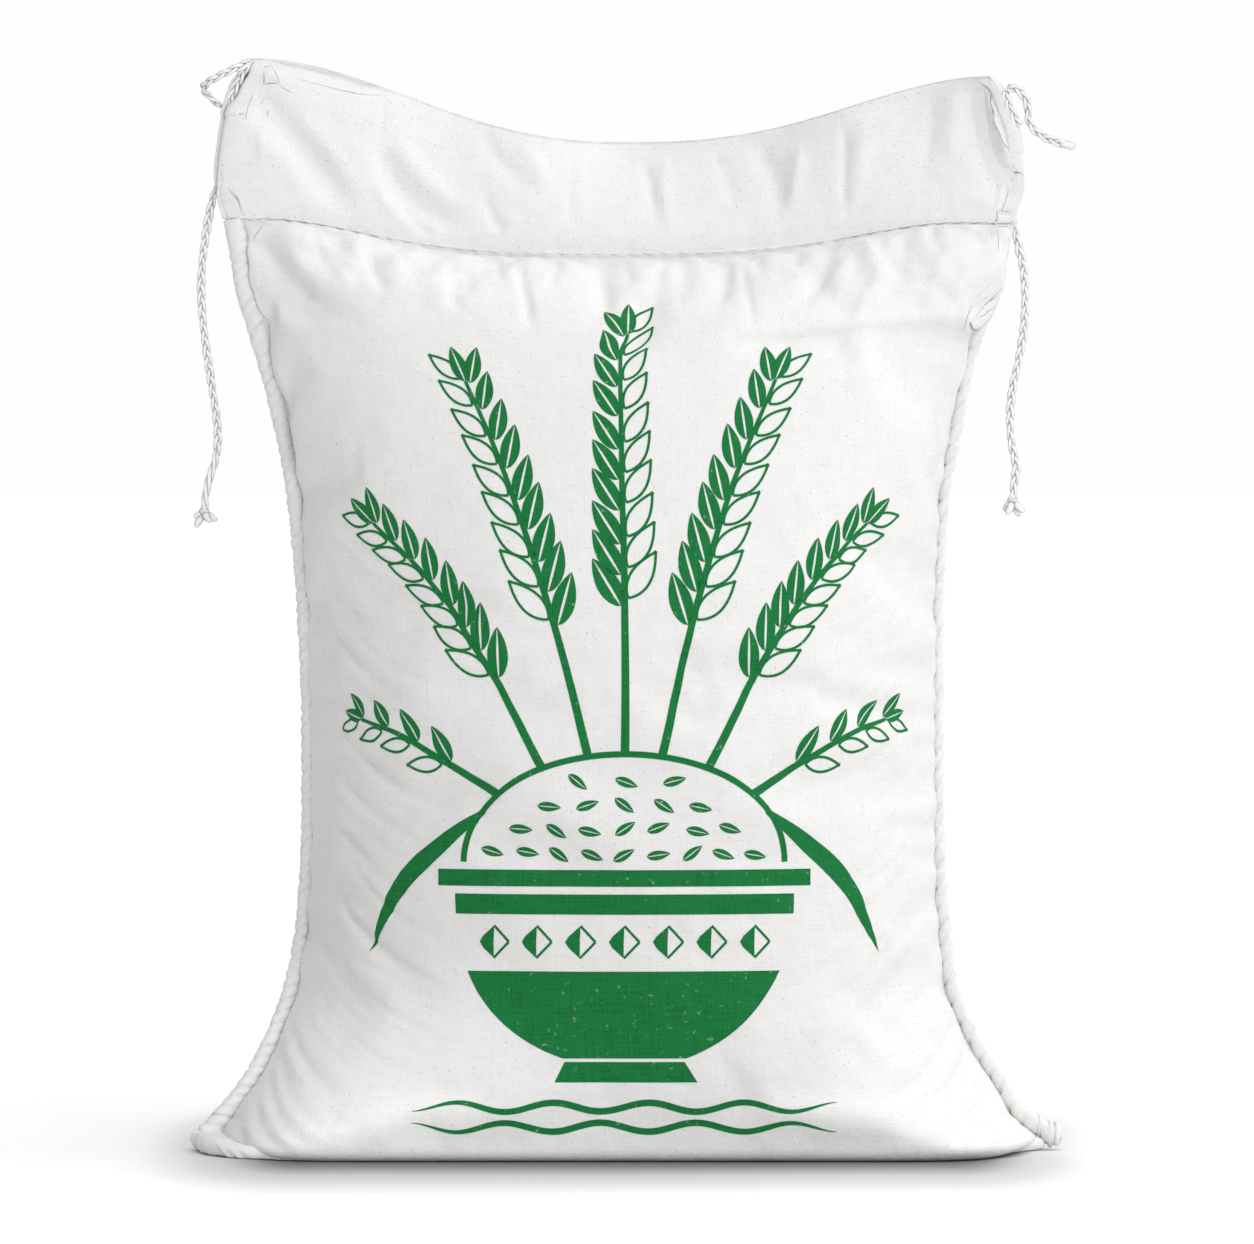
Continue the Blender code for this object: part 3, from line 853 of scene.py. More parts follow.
# Folds on the front: pixels of the photograph along the fold, then its half width and its height
# in millimetres. A hollow's height is negative.
BAND_FOLDS = (
    (((236, 78), (262, 102), (300, 142), (332, 184), (366, 232)), 7.0, -3.4),
    (((252, 122), (272, 146), (300, 180), (322, 210)), 5.5, 1.0),
    (((284, 104), (312, 132), (338, 164), (360, 202)), 4.0, 1.1),
    (((387, 88), (382, 120), (381, 150)), 2.0, -0.8),
    (((378, 132), (390, 168), (413, 198), (446, 218), (480, 226)), 5.2, -2.8),
    (((392, 134), (412, 166), (440, 192), (470, 208)), 4.5, 1.2),
    (((372, 178), (386, 202), (404, 224)), 2.6, 0.8),
    (((404, 206), (420, 226), (436, 240)), 2.2, -0.9),
    (((482, 126), (492, 150), (512, 172), (534, 192)), 4.5, -1.3),
    (((482, 190), (492, 214), (506, 240)), 2.4, -1.1),
    (((520, 140), (536, 166), (552, 204)), 3.5, 0.7),
    (((569, 160), (571, 190), (570, 232)), 2.0, -0.45),
    (((641, 154), (650, 184), (658, 232)), 2.6, -0.9),
    (((668, 150), (664, 190), (672, 236)), 3.0, 0.6),
    (((712, 146), (724, 172), (736, 214)), 3.0, -0.6),
    (((750, 138), (768, 166), (782, 200), (786, 230)), 5.0, -1.6),
    (((797, 140), (798, 170), (788, 206), (782, 228)), 3.4, 1.3),
    (((842, 118), (845, 146), (844, 190), (847, 230)), 1.9, -1.2),
    (((860, 116), (862, 150), (856, 196)), 3.4, 0.8),
    (((934, 92), (930, 130), (924, 184)), 2.6, -0.6),
    (((956, 88), (950, 130), (952, 172)), 4.5, 1.0),
    (((982, 70), (977, 104), (984, 150), (1002, 184), (1020, 212)), 5.4, -3.6),
    (((940, 206), (962, 196), (986, 204), (1006, 214)), 3.0, 0.6),
    (((983, 84), (989, 106), (997, 130), (1005, 152), (1008, 168)), 1.5, 1.5),
    (((1000, 170), (1010, 172), (1020, 176)), 1.2, -0.9),
    (((994, 212), (1004, 214), (1015, 216)), 1.0, -1.0),
    (((1004, 176), (1000, 196), (994, 212)), 1.5, 0.9),
    (((255, 124), (262, 150), (262, 180)), 2.2, 0.5),
)
NECK_FOLDS = (
    (((968, 330), (977, 318), (988, 306), (1002, 290)), 1.3, -1.3),
    (((974, 312), (986, 302), (1000, 286)), 0.9, -0.7),
    (((972, 304), (984, 294), (998, 278)), 0.9, -0.5),
    (((960, 306), (958, 330), (956, 356)), 3.4, -0.9),
    (((256, 222), (264, 246), (282, 274), (306, 296), (338, 310)), 4.6, -2.5),
    (((282, 226), (296, 254), (322, 284), (356, 304)), 5.0, 1.5),
    (((252, 262), (262, 290), (286, 318), (316, 334)), 4.6, 1.2),
    (((312, 230), (318, 246), (326, 266)), 2.8, -0.7),
    (((364, 236), (372, 256), (380, 278), (390, 300)), 3.6, -1.6),
    (((386, 240), (398, 262), (408, 290)), 3.8, 0.8),
    (((452, 250), (453, 272), (456, 300), (462, 324)), 3.4, -1.2),
    (((474, 252), (478, 276), (482, 306)), 3.4, 0.6),
    (((497, 256), (499, 268), (502, 284)), 2.4, -0.8),
    (((519, 258), (522, 280), (528, 308), (532, 336)), 2.4, -1.4),
    (((560, 258), (556, 272), (548, 292)), 2.4, -0.8),
    (((597, 256), (600, 276), (606, 304), (610, 322)), 3.4, -1.2),
    (((626, 256), (628, 274), (634, 290)), 2.4, -0.6),
    (((668, 254), (662, 268), (654, 284)), 2.4, -0.7),
    (((727, 250), (726, 270), (721, 298), (718, 312)), 3.6, -1.4),
    (((741, 252), (744, 280), (750, 314), (756, 344)), 2.0, -0.8),
    (((764, 250), (768, 268), (772, 290)), 3.0, 0.6),
    (((831, 244), (824, 262), (812, 286), (794, 312)), 4.2, -1.9),
    (((846, 246), (842, 270), (830, 300)), 4.0, 0.9),
    (((872, 238), (884, 252), (898, 268), (914, 284)), 3.4, -1.3),
    (((928, 228), (934, 242), (942, 260)), 2.8, -1.0),
    (((972, 226), (976, 238), (984, 252)), 2.6, -0.7),
    (((946, 300), (964, 282), (984, 270), (1002, 252)), 4.0, 1.0),
    (((962, 318), (976, 306), (988, 290), (996, 270)), 3.0, -1.2),
)
EAR_FOLDS = (
    (((220, 1136), (231, 1147), (246, 1154), (268, 1160)), 1.4, -1.2),
    (((224, 1128), (234, 1142), (250, 1151), (276, 1157)), 2.4, 1.2),
    (((240, 1112), (244, 1130), (256, 1145), (282, 1155)), 1.4, -0.8),
    (((247, 1104), (253, 1124), (268, 1141), (298, 1152)), 2.0, 0.7),
    (((256, 1092), (263, 1114), (277, 1132), (306, 1148)), 1.4, -0.9),
    (((262, 1082), (270, 1106), (286, 1126), (314, 1142)), 2.0, 0.7),
    (((269, 1070), (278, 1098), (294, 1120), (324, 1138)), 1.4, -0.8),
    (((274, 1056), (284, 1086), (302, 1110), (334, 1130)), 2.0, 0.6),
    (((279, 1040), (286, 1072), (302, 1100), (338, 1124)), 1.6, -1.0),
    (((284, 1026), (294, 1058), (312, 1088), (346, 1114)), 2.0, 0.7),
    (((288, 1006), (298, 1040), (320, 1074), (356, 1102)), 1.8, -0.9),
    (((1038, 1140), (1020, 1144), (990, 1149), (956, 1154)), 2.6, 1.6),
    (((1020, 1128), (1000, 1138), (970, 1148)), 2.4, -1.2),
    (((1024, 1112), (1004, 1126), (974, 1136)), 2.2, 0.8),
    (((956, 1010), (946, 1036), (926, 1062), (896, 1086)), 2.4, -1.2),
    (((962, 1024), (952, 1052), (932, 1078), (902, 1100)), 2.2, 0.8),
    (((968, 1040), (958, 1068), (938, 1094), (910, 1114)), 2.2, -1.0),
    (((978, 1062), (968, 1086), (950, 1108), (924, 1128)), 2.4, 0.9),
    (((990, 1080), (980, 1102), (962, 1120), (938, 1136)), 2.2, -1.1),
)

RIPPLE_SPACING = 6.6 * MM
RIPPLE_SHAPE = ((0.0, 0.0), (0.20, -0.26), (0.52, -0.52), (1.0, -0.72))


def add_ripples(relief, x, z, side, strength, seed):
    """Fine drag lines that leave the side seam and run down towards the middle."""
    rng = np.random.default_rng(seed)
    level = 0.030
    while level < 0.300:
        level += RIPPLE_SPACING * rng.uniform(0.75, 1.3)
        start = float(cloth_edge(side, level)) - rng.uniform(0.002, 0.016)
        reach = rng.uniform(0.035, 0.075) * (0.75 if level < 0.07 else 1.0)
        steep = rng.uniform(0.75, 1.15)
        line = [(side * (start - a * reach), level + b * reach * steep) for a, b in RIPPLE_SHAPE]
        swell = strength * (0.55 + 0.45 * math.sin(math.pi * level / 0.33)) * rng.uniform(0.5, 1.2)
        add_fold(relief, x, z, line, rng.uniform(1.4, 2.4) * MM, -swell * MM, 0.12, 0.65)


def stitch_relief(u, above, seed):
    """The cloth is pulled in along the hem's stitches, and puckers above and below them."""
    def waver(size, number):
        return lattice_noise(u, 0 * above, size, seed + number)

    pucker = 0.8 * waver(15 * MM, 0) + 0.6 * waver(6 * MM, 1)
    below = np.exp(-np.abs(np.minimum(above, 0)) / (13 * MM)) * (above <= 0)
    over = np.exp(-np.maximum(above, 0) / (6 * MM)) * (above > 0)
    place = ((u + 0.75 * MM * waver(20 * MM, 2)) / STITCH_PITCH) % 1
    reach = 0.54 + 0.18 * waver(9 * MM, 3)
    dash = smooth_step(place, 0.16, 0.26) * (1 - smooth_step(place, reach, reach + 0.14))
    dash *= 0.72 + 0.5 * waver(13 * MM, 4)
    close = np.exp(-np.abs(above) / (3.2 * MM))
    hollow = np.exp(-((above / (1.9 * MM)) ** 2))
    slit = np.exp(-((above / (0.42 * MM)) ** 2))
    relief = pucker * (1.0 * MM * below + 0.6 * MM * over) * (1 - hollow)
    relief += 0.30 * MM * (1 - dash) * close - 0.42 * MM * hollow
    return relief - (0.06 + 0.80 * dash) * MM * slit


SETTLE_STEP = 4
SETTLE_FRAMES = 20
SETTLE_CAP = 3.0 * MM
SETTLE_BLURS = {"swelling": 60, "grid": 10}
# The spare cloth is the negative shrinking.
SETTLE_CLOTH = {
    "quality": 6, "mass": 0.15, "tension_stiffness": 12.0, "compression_stiffness": 12.0,
    "shear_stiffness": 4.0, "bending_stiffness": 0.08, "vertex_group_mass": "held",
    "shrink_min": -0.055, "use_pressure": True, "uniform_pressure_force": 4.0,
}
# Near the base the wrinkles are fainter, and faintest at its corners.
SETTLE_LOW = (0.035, 0.100)
SETTLE_CORNER = (0.105, 0.140)
SETTLE_FADES = (0.60, 0.20)


def blur(grid, passes):
    """Even a grid of numbers out, holding its border."""
    for _ in range(passes):
        padded = np.pad(grid, 1, mode="edge")
        grid = (
            padded[:-2, 1:-1] + padded[2:, 1:-1] + padded[1:-1, :-2] + padded[1:-1, 2:] + 4 * grid
        ) / 8
    return grid


def settled_points(start, faces, held):
    """Where a grid of cloth comes to rest when it is held at its border and pushed from inside."""
    mesh = bpy.data.meshes.new("settling")
    mesh.from_pydata(start.reshape(-1, 3).tolist(), [], faces)
    cloth = bpy.data.objects.new("settling", mesh)
    bpy.context.scene.collection.objects.link(cloth)
    cloth.vertex_groups.new(name="held").add(held.tolist(), 1.0, "REPLACE")
    modifier = cloth.modifiers.new("cloth", "CLOTH")
    for name, value in SETTLE_CLOTH.items():
        setattr(modifier.settings, name, value)
    modifier.settings.effector_weights.gravity = 0.0
    modifier.collision_settings.use_collision = False
    modifier.point_cache.frame_start = 1
    modifier.point_cache.frame_end = SETTLE_FRAMES
    for frame_number in range(1, SETTLE_FRAMES + 1):
        bpy.context.scene.frame_set(frame_number)
    settled = cloth.evaluated_get(bpy.context.evaluated_depsgraph_get()).data
    ended = np.empty(len(settled.vertices) * 3)
    settled.vertices.foreach_get("co", ended)
    bpy.context.scene.frame_set(1)
    bpy.data.objects.remove(cloth)
    return ended.reshape(start.shape)


def settle(panel):
    """Cloth simulation: a little spare cloth, held at its seams and pushed out by the rice.

    Gives how far each point of the panel moves out. Only the wrinkles are kept, not the swelling.
    """
    moved = np.zeros(panel.u.shape)
    rows = np.arange(int(np.argmin(np.abs(panel.heights))), len(panel.heights))
    rows = rows[panel.heights[rows] <= STITCH_HEIGHT][::SETTLE_STEP]
    columns = np.unique(np.append(np.arange(0, panel.u.shape[1], SETTLE_STEP), panel.u.shape[1] - 1))
    coarse = np.ix_(rows, columns)
    start = panel.points[coarse]
    number = np.arange(start[..., 0].size).reshape(start.shape[:2])
    held = np.unique(np.concatenate((number[0], number[-1], number[:, 0], number[:, -1])))
    ended = settled_points(start, grid_faces(*number.shape, panel.face == BACK), held)
    out = ((ended - start) * panel.normals[coarse]).sum(axis=-1)
    wrinkles = np.clip(out - blur(out, SETTLE_BLURS["swelling"]), -SETTLE_CAP, SETTLE_CAP)
    up = np.arange(rows[0], rows[-1] + 1)
    wide = sampled(wrinkles.T, columns, np.arange(panel.u.shape[1])).T
    moved[up] = blur(sampled(wide, rows, up), SETTLE_BLURS["grid"])
    low = 1 - smooth_step(panel.points[..., 2], *SETTLE_LOW)
    corner = smooth_step(np.abs(panel.points[..., 0]), *SETTLE_CORNER)
    return moved * (1 - (SETTLE_FADES[0] + SETTLE_FADES[1] * corner) * low)


FOLD_STRENGTH = 1.25
SEAM_LINE_INSET = 1.7 * MM
RELIEF_BEGINS = (-0.002, 0.010)
RELIEF_ENDS = MOUTH_HEIGHT - 4 * MM
RELIEF_FROM_EDGE = 2.5 * MM
CASING_ROW_STEP = 2 * MM


def seam_line_hollow(panel):
    """The cloth is drawn in a little along the row of stitches beside each rolled seam."""
    low = (panel.points[..., 2] < 0.43) & (panel.points[..., 2] > 0.012)
    return 0.7 * MM * low * np.exp(-(((panel.from_edge() - SEAM_LINE_INSET) / (0.8 * MM)) ** 2))


def plain_relief(panel, seeds, lump_height, lump_size):
    """The puckers along the hem's stitches, the hollows beside the seams, and low lumps of two sizes."""
    x, z = panel.points[..., 0], panel.points[..., 2]
    above = np.broadcast_to((panel.v - panel.v_at(STITCH_HEIGHT))[:, None], x.shape)
    relief = stitch_relief(panel.u, above, seeds[0]) - seam_line_hollow(panel)
    relief += lump_height * lattice_noise(x, z, lump_size, seeds[1]) * smooth_step(z, 0.0, 0.03)
    return x, z, relief + 0.18 * MM * lattice_noise(x, z, 14 * MM, seeds[1] + 1)


def front_relief(panel):
    """How far the front's cloth stands out of its smooth shape."""
    x, z, relief = plain_relief(panel, (5, 11), 0.5 * MM, 42 * MM)
    for line, width, height in BAND_FOLDS + NECK_FOLDS + EAR_FOLDS:
        line = [from_photo(*pixel) for pixel in line]
        add_fold(relief, x, z, line, width * MM, FOLD_STRENGTH * height * MM)
    add_ripples(relief, x, z, LEFT, 0.95, 21)
    add_ripples(relief, x, z, RIGHT, 0.55, 22)
    return relief + 0.10 * MM * lattice_noise(x + 0.6 * z, z, 6.5 * MM, 13)


def back_relief(panel):
    """The unseen back: the same puckers and drag lines, and a few slack folds from its stitches."""
    x, z, relief = plain_relief(panel, (25, 31), 0.7 * MM, 40 * MM)
    rng = np.random.default_rng(33)
    for place in np.linspace(-0.15, 0.15, 17):
        sway = rng.uniform(-0.012, 0.012)
        low = rng.uniform(0.325, 0.365)
        neck = ((place, 0.396), (place + sway * 0.4, (low + 0.396) / 2), (place + sway, low))
        add_fold(relief, x, z, neck, rng.uniform(2.6, 4.6) * MM, rng.uniform(-2.0, -0.6) * MM)
        band = ((place, 0.402), (place - sway * 0.6, 0.424), (place - sway, 0.444))
        add_fold(relief, x, z, band, rng.uniform(2.6, 4.8) * MM, rng.uniform(-1.8, 0.8) * MM)
    add_ripples(relief, x, z, LEFT, 0.40, 34)
    add_ripples(relief, x, z, RIGHT, 0.50, 35)
    return relief


def dip_rim(panel):
    """The front's rim hangs lower near its left end, so that the back's rim shows above it."""
    x = panel.points[..., 0]
    dip = smooth_step(x, *RIM_DIP_FROM) * (1 - smooth_step(x, *RIM_DIP_TO))
    panel.points[..., 2] -= RIM_DIP * dip * smooth_step(panel.heights, 0.428, MOUTH_HEIGHT)[:, None]


def casing_inside(panel):
    """The casing's cloth where it turns over at the mouth, and the sheet that hangs down inside."""
    top = panel.points[-1]
    turn = np.linspace(0, math.pi, ROWS_FOLD + 2)[1:, None]
    fold_y = top[:, 1] - panel.face * FOLD_RADIUS * (1 - np.cos(turn))
    fold_z = top[:, 2] + FOLD_RADIUS * np.sin(turn)
    fold = np.stack(np.broadcast_arrays(top[:, 0], fold_y, fold_z), axis=-1)
    heights = np.linspace(MOUTH_HEIGHT, STITCH_HEIGHT + 1 * MM, ROWS_INSIDE + 1)[1:, None]
    inside = cloth_point(panel.columns[None, :], heights, panel.face)
    middle = middle_surface(inside[..., 0], panel.columns[None, :], heights)
    inside[..., 1] = middle + np.clip(inside[..., 1] - middle, -INSIDE_GAP, INSIDE_GAP)
    return np.concatenate((fold, inside))


def make_cloth(panel, relief, material):
    """The cloth from the middle of the base to the hem, and the casing up, over and down inside."""
    relief *= smooth_step(panel.heights, *RELIEF_BEGINS)[:, None]
    relief *= 1 - smooth_step(panel.heights, RELIEF_ENDS, MOUTH_HEIGHT)[:, None]
    relief *= smooth_step(panel.from_edge(), 0.0, RELIEF_FROM_EDGE)
    if panel.face == FRONT:
        dip_rim(panel)
    panel.points = panel.points + panel.normals * relief[..., None]
    panel.measure()
    inside = casing_inside(panel)
    points = np.concatenate((panel.points, inside))
    past = panel.v[-1] + np.arange(1, len(inside) + 1) * CASING_ROW_STEP
    v = np.concatenate((panel.v, past))[:, None]
    u = np.concatenate((panel.u, np.broadcast_to(panel.u[-1], inside.shape[:2])))
    uv = np.stack(np.broadcast_arrays(u, v), axis=-1)
    hem = int(np.argmin(np.abs(panel.heights - STITCH_HEIGHT)))
    pieces = []
    for part, rows in (("cloth", slice(0, hem + 1)), ("casing", slice(hem, None))):
        faces = grid_faces(*points[rows].shape[:2], panel.face == BACK)
        shape = (points[rows].reshape(-1, 3), faces)
        flat = uv[rows].reshape(-1, 2)
        pieces.append(make_piece(f"{panel.name}_{part}", *shape, material, "cotton", flat))
    return pieces


def stitch_line(panel, line, pitch, length, radius, tilt=0.0, rng=None):
    """Threads that run in and out of the cloth along a line of (u, v) places."""
    line = np.array(line, dtype=float)
    walked = lengths_along(line)
    shapes = []
    at = pitch / 2
    while at < walked[-1] - length / 2:
        reach = length / 2 * (1 if rng is None else rng.uniform(0.88, 1.08))
        s = np.linspace(-reach, reach, len(THREAD_LIFTS))
        u, v = sampled(line, walked, at + s).T
        shapes.append(tube(panel.at(u, v + tilt * s, radius * THREAD_LIFTS), radius, 8))
        at += pitch
    return shapes


def raised(panel, shapes, distance):
    """The same shapes, further out from the front or the back."""
    return [(points + (0.0, panel.face * distance, 0.0), faces) for points, faces in shapes]


HEM_STRIP_WIDTH = 6.6 * MM
HEM_STRIP_THICK = 0.8 * MM
HEM_STRIP_GRID = (60, 14)
HEM_STRIP_FOOT = {LEFT: 0.4545, RIGHT: 0.4385}
HEM_STRIP_ROUNDS = {"edge": 0.12, "foot": 1.2 * MM}
HEM_STRIP_SINKS = 0.4 * MM
HEM_THREAD = {"pitch": 3.4 * MM, "length": 2.4 * MM, "radius": 0.22 * MM}
HEM_THREAD_PLACE = 0.82


def hem_strip(panel, side):
    """A turned and sewn end of the casing, and the line on it that its threads follow."""
    edge = 0 if side == LEFT else -1
    rows, columns = HEM_STRIP_GRID
    foot = float(np.interp(HEM_STRIP_FOOT[side], panel.points[:, edge, 2], panel.v))
    v = np.linspace(foot, panel.v[-1], rows)[:, None]
    reach = np.interp(v, panel.v, panel.u[:, edge])
    turn = np.linspace(0, 1, columns)[None, :]
    swell = HEM_STRIP_THICK * np.minimum(turn / HEM_STRIP_ROUNDS["edge"], 1.0) ** 0.5
    ends = np.minimum(1.0, (v - foot) / HEM_STRIP_ROUNDS["foot"]) ** 0.5
    lumps = lattice_noise(v + 0 * turn, 0 * v + turn * 4 * MM, 5 * MM, 91)
    u = reach - side * HEM_STRIP_WIDTH * (1 - turn)
    outer = panel.at(u, v, swell * ends + 0.12 * MM * lumps).reshape(rows, columns, 3)
    under = panel.at(u, v, -HEM_STRIP_SINKS).reshape(rows, columns, 3)
    ring = np.concatenate((outer, under[:, ::-1]), axis=1)
    faces = grid_faces(rows, 2 * columns, turned=side == RIGHT, around=True)
    line = np.hstack((reach - side * HEM_STRIP_WIDTH * HEM_THREAD_PLACE, v))
    return ring.reshape(-1, 3), faces, line


def make_hem_strips(panel, material, thread):
    """The turned and sewn ends of the casing, either side of the mouth."""
    for side, name in SIDE_NAMES.items():
        points, faces, line = hem_strip(panel, side)
        make_piece(f"{panel.name}_hem_{name}", points, faces, material, "seam_cotton")
        rng = np.random.default_rng(93 + side)
        threads = raised(panel, stitch_line(panel, line, **HEM_THREAD, rng=rng), 0.7 * MM)
        make_piece(f"{panel.name}_hem_thread_{name}", *join_shapes(threads), thread, "cord")


def make_hem_threads(panel, material):
    """The long running stitches that close the casing's lower edge."""
    v = panel.v_at(STITCH_HEIGHT)
    row = int(np.argmin(np.abs(panel.v - v)))
    low, high = panel.u[row, 0] + 2 * MM, panel.u[row, -1] - 2 * MM
    line = [(u, v + 0.85 * MM) for u in np.linspace(low, high, 300)]
    rng = np.random.default_rng(60 + panel.face)
    shapes = stitch_line(panel, line, STITCH_PITCH, STITCH_LENGTH, THREAD_RADIUS, 0.07, rng)
    make_piece(f"hem_stitches_{panel.name}", *join_shapes(shapes), material, "cord")


SEAM_THREAD = {"pitch": 3.1 * MM, "length": 2.5 * MM, "radius": 0.27 * MM}
SEAM_THREAD_ENDS = {LEFT: (0.016, 0.428), RIGHT: (0.016, WELT_TOP[RIGHT])}


def make_seam_threads(panel, material):
    """The row of small stitches beside each rolled seam, which on the left runs up into the casing."""
    shapes = []
    for side, ends in SEAM_THREAD_ENDS.items():
        line = panel.edge_places(side, *ends, SEAM_LINE_INSET)
        shapes += stitch_line(panel, line, **SEAM_THREAD, rng=np.random.default_rng(64 + side))
    make_piece(f"seam_stitches_{panel.name}", *join_shapes(shapes), material, "cord")


# Sewn squares of the casing: the pixel of the middle, half width, half height and lean.
TACKS = (((271, 75.5), 3.1 * MM, 3.1 * MM, 0.30), ((1003.5, 219), 3.2 * MM, 2.6 * MM, -0.08))
TACK_SIDES = 14
TACK_THICK = 0.55 * MM
TACK_THREAD = {"pitch": 1.7 * MM, "length": 1.2 * MM, "radius": 0.20 * MM}
# The pixels along one loose stitch, and along a short row of stitches.
LOOSE_STITCH = ((993, 152), (1005, 153))
CASING_THREAD = ((234, 186), (241, 199), (247, 215), (246, 222))
LOOSE_RADIUS = 0.30 * MM


def tack_places(panel, tack, places):
    """(u, v) places on a sewn square, from places between -1 and 1 across and up it."""
    pixel, half_width, half_height, lean = tack
    turn = np.array(((math.cos(lean), math.sin(lean)), (-math.sin(lean), math.cos(lean))))
    return panel.place_of(pixel) + (np.array(places) * (half_width, half_height)) @ turn


def make_tacks(panel, material, thread):
    """The small sewn squares that hold the casing's ends, one loose stitch, and a short row of them."""
    squares, shapes = [], []
    across = np.linspace(-1, 1, TACK_SIDES)
    grid = np.stack(np.meshgrid(across, across), axis=-1).reshape(-1, 2)
    lift = TACK_THICK * (1 - np.abs(grid).max(axis=-1) ** 8) + 0.05 * MM
    corners = np.array(((-1, -1), (1, -1), (1, 1), (-1, 1), (-1, -1))) * 0.80
    for tack in TACKS:
        flat = tack_places(panel, tack, grid)
        squares.append((panel.at(flat[:, 0], flat[:, 1], lift), grid_faces(TACK_SIDES, TACK_SIDES)))
        rim = tack_places(panel, tack, corners)
        for start, end in zip(rim, rim[1:]):
            stitches = stitch_line(panel, np.linspace(start, end, 6), **TACK_THREAD)
            shapes += raised(panel, stitches, 0.6 * MM)
    loose = np.linspace(*(panel.place_of(pixel) for pixel in LOOSE_STITCH), 8)
    shapes += stitch_line(panel, loose, 5.2 * MM, 5.0 * MM, LOOSE_RADIUS)
    seam_end = [panel.place_of(pixel) for pixel in CASING_THREAD]
    shapes += stitch_line(panel, seam_end, 2.9 * MM, 2.5 * MM, LOOSE_RADIUS)
    make_piece("casing_tacks", *join_shapes(squares), material, "seam_cotton")
    make_piece("casing_tack_stitches", *join_shapes(shapes), thread, "cord")


# Strips of painted shade in the thin gaps beside the front's sewing: pixels of the photograph along
# each, and its half width in millimetres.
SHADE_STRIPS = (
    (((264, 64), (261, 77), (253, 97), (247, 114), (245, 120)), 0.30),
    (((229, 108), (234, 113), (245, 115)), 0.26),
    (((230, 221), (234, 222), (240, 221)), 0.30),
    (((231, 188), (238, 201), (244, 216)), 0.20),
    (((262, 226), (257, 234), (254, 243)), 0.18),
    (((278, 84), (286, 90), (294, 94)), 0.10),
    (((290, 76), (316, 84), (346, 91), (382, 95)), 0.11),
    (((982, 85), (991, 106), (993, 121), (999, 135), (1003, 144), (1009, 151)), 0.30),
    (((1010, 175), (1017, 173), (1023, 175)), 0.26),
    (((1008, 185), (1006, 198), (1001, 211)), 0.16),
    (((996, 213), (1006, 214), (1015, 212)), 0.30),
    (((996, 213), (995, 222), (993, 226)), 0.26),
    (((993, 226), (1000, 227), (1011, 226)), 0.24),
    (((997, 232), (998, 242), (997, 252)), 0.13),
    (((969, 323), (972, 330), (977, 329)), 0.55),
    (((975, 317), (981, 309), (997, 296)), 0.18),
    (((978, 318), (986, 313), (1000, 302)), 0.16),
    (((985, 306), (992, 298), (1003, 286)), 0.14),
    (((961, 330), (966, 318), (972, 306)), 0.20),
)


# The painted shade strip along the left seam: how far in it lies, the levels of its ends, and its half
# width.
LEFT_SEAM_SHADE_STRIP = {"inset": 2.7 * MM, "ends": (0.02, 0.404), "half_width": 0.20 * MM}
# The painted shade round each sewn square: how far out it lies, and its half width.
TACK_SHADE_STRIP = {"out": 1.06, "half_width": 0.24 * MM}
SHADE_STRIP_STEP = 0.7 * MM
SHADE_STRIP_WAVER = 0.16 * MM
SHADE_STRIP_LIFT = 0.10 * MM


def shade_strip_shape(panel, line, half_width, seed):
    """A thin strip of painted shade on the cloth along a line of (u, v) places, that wavers and thins to its
    ends.
    """
    line = ink_line(line)
    walked = lengths_along(line)
    line = sampled(line, walked, np.arange(0, walked[-1], SHADE_STRIP_STEP))
    s = np.linspace(0, 1, len(line))
    turns = np.random.default_rng(seed).uniform(-1, 1, 200)
    waver = np.interp(s * len(s) / 5, np.arange(len(turns)), turns)
    width = half_width * np.sin(math.pi * (0.06 + 0.88 * s)) ** 0.5 * (1 + 0.45 * waver[::-1])
    flat, faces = ribbon(line + SHADE_STRIP_WAVER * waver[:, None], width)
    return panel.at(flat[:, 0], flat[:, 1], SHADE_STRIP_LIFT), faces


def make_shade_strips(panel, material):
    """Painted shade in the gaps beside the casing's sewn edges, at the notch, and along the left seam's
    stitches.
    """
    shapes = []
    for number, (pixels, half_width) in enumerate(SHADE_STRIPS):
        places = [panel.place_of(pixel) for pixel in pixels]
        shapes.append(shade_strip_shape(panel, places, half_width * MM, number))
    corners = np.array(((-1, 1), (-1, -1), (1, -1), (1, 1), (-1, 1))) * TACK_SHADE_STRIP["out"]
    for tack in TACKS:
        rim = tack_places(panel, tack, corners)
        for start, end in zip(rim, rim[1:]):
            side_line = np.linspace(start, end, 4)
            shapes.append(shade_strip_shape(panel, side_line, TACK_SHADE_STRIP["half_width"], len(shapes)))
    line = panel.edge_places(LEFT, *LEFT_SEAM_SHADE_STRIP["ends"], LEFT_SEAM_SHADE_STRIP["inset"])[::6]
    shapes.append(shade_strip_shape(panel, line, LEFT_SEAM_SHADE_STRIP["half_width"], 99))
    # These dark strips are painted shade laid on the cloth.
    make_piece("sewing_shade_strips", *join_shapes(shapes), material, "seam_cotton")


INK_LIFT = 0.14 * MM
INK_STEP = 1.5 * MM


def ribbon(centre, half_width):
    """A flat shape between two sides of a line: (u, v) points and quads."""
    centre = np.array(centre, dtype=float)
    half_width = np.broadcast_to(half_width, len(centre)).astype(float)
    ahead = np.gradient(centre, axis=0)
    ahead /= np.maximum(np.linalg.norm(ahead, axis=1), 1e-9)[:, None]
    aside = np.stack((-ahead[:, 1], ahead[:, 0]), axis=-1)
    count = max(2, math.ceil(2 * half_width.max() / INK_STEP) + 1)
    across = np.linspace(-1, 1, count)
    points = centre[:, None] + across[None, :, None] * (aside * half_width[:, None])[:, None]
    return points.reshape(-1, 2), grid_faces(len(centre), count)


def ink_line(points):
    """A smooth line through (u, v) points, in steps short enough to lie on the cloth."""
    return flat_route(points, INK_STEP)


GRAIN_RIM = 0.95 * MM


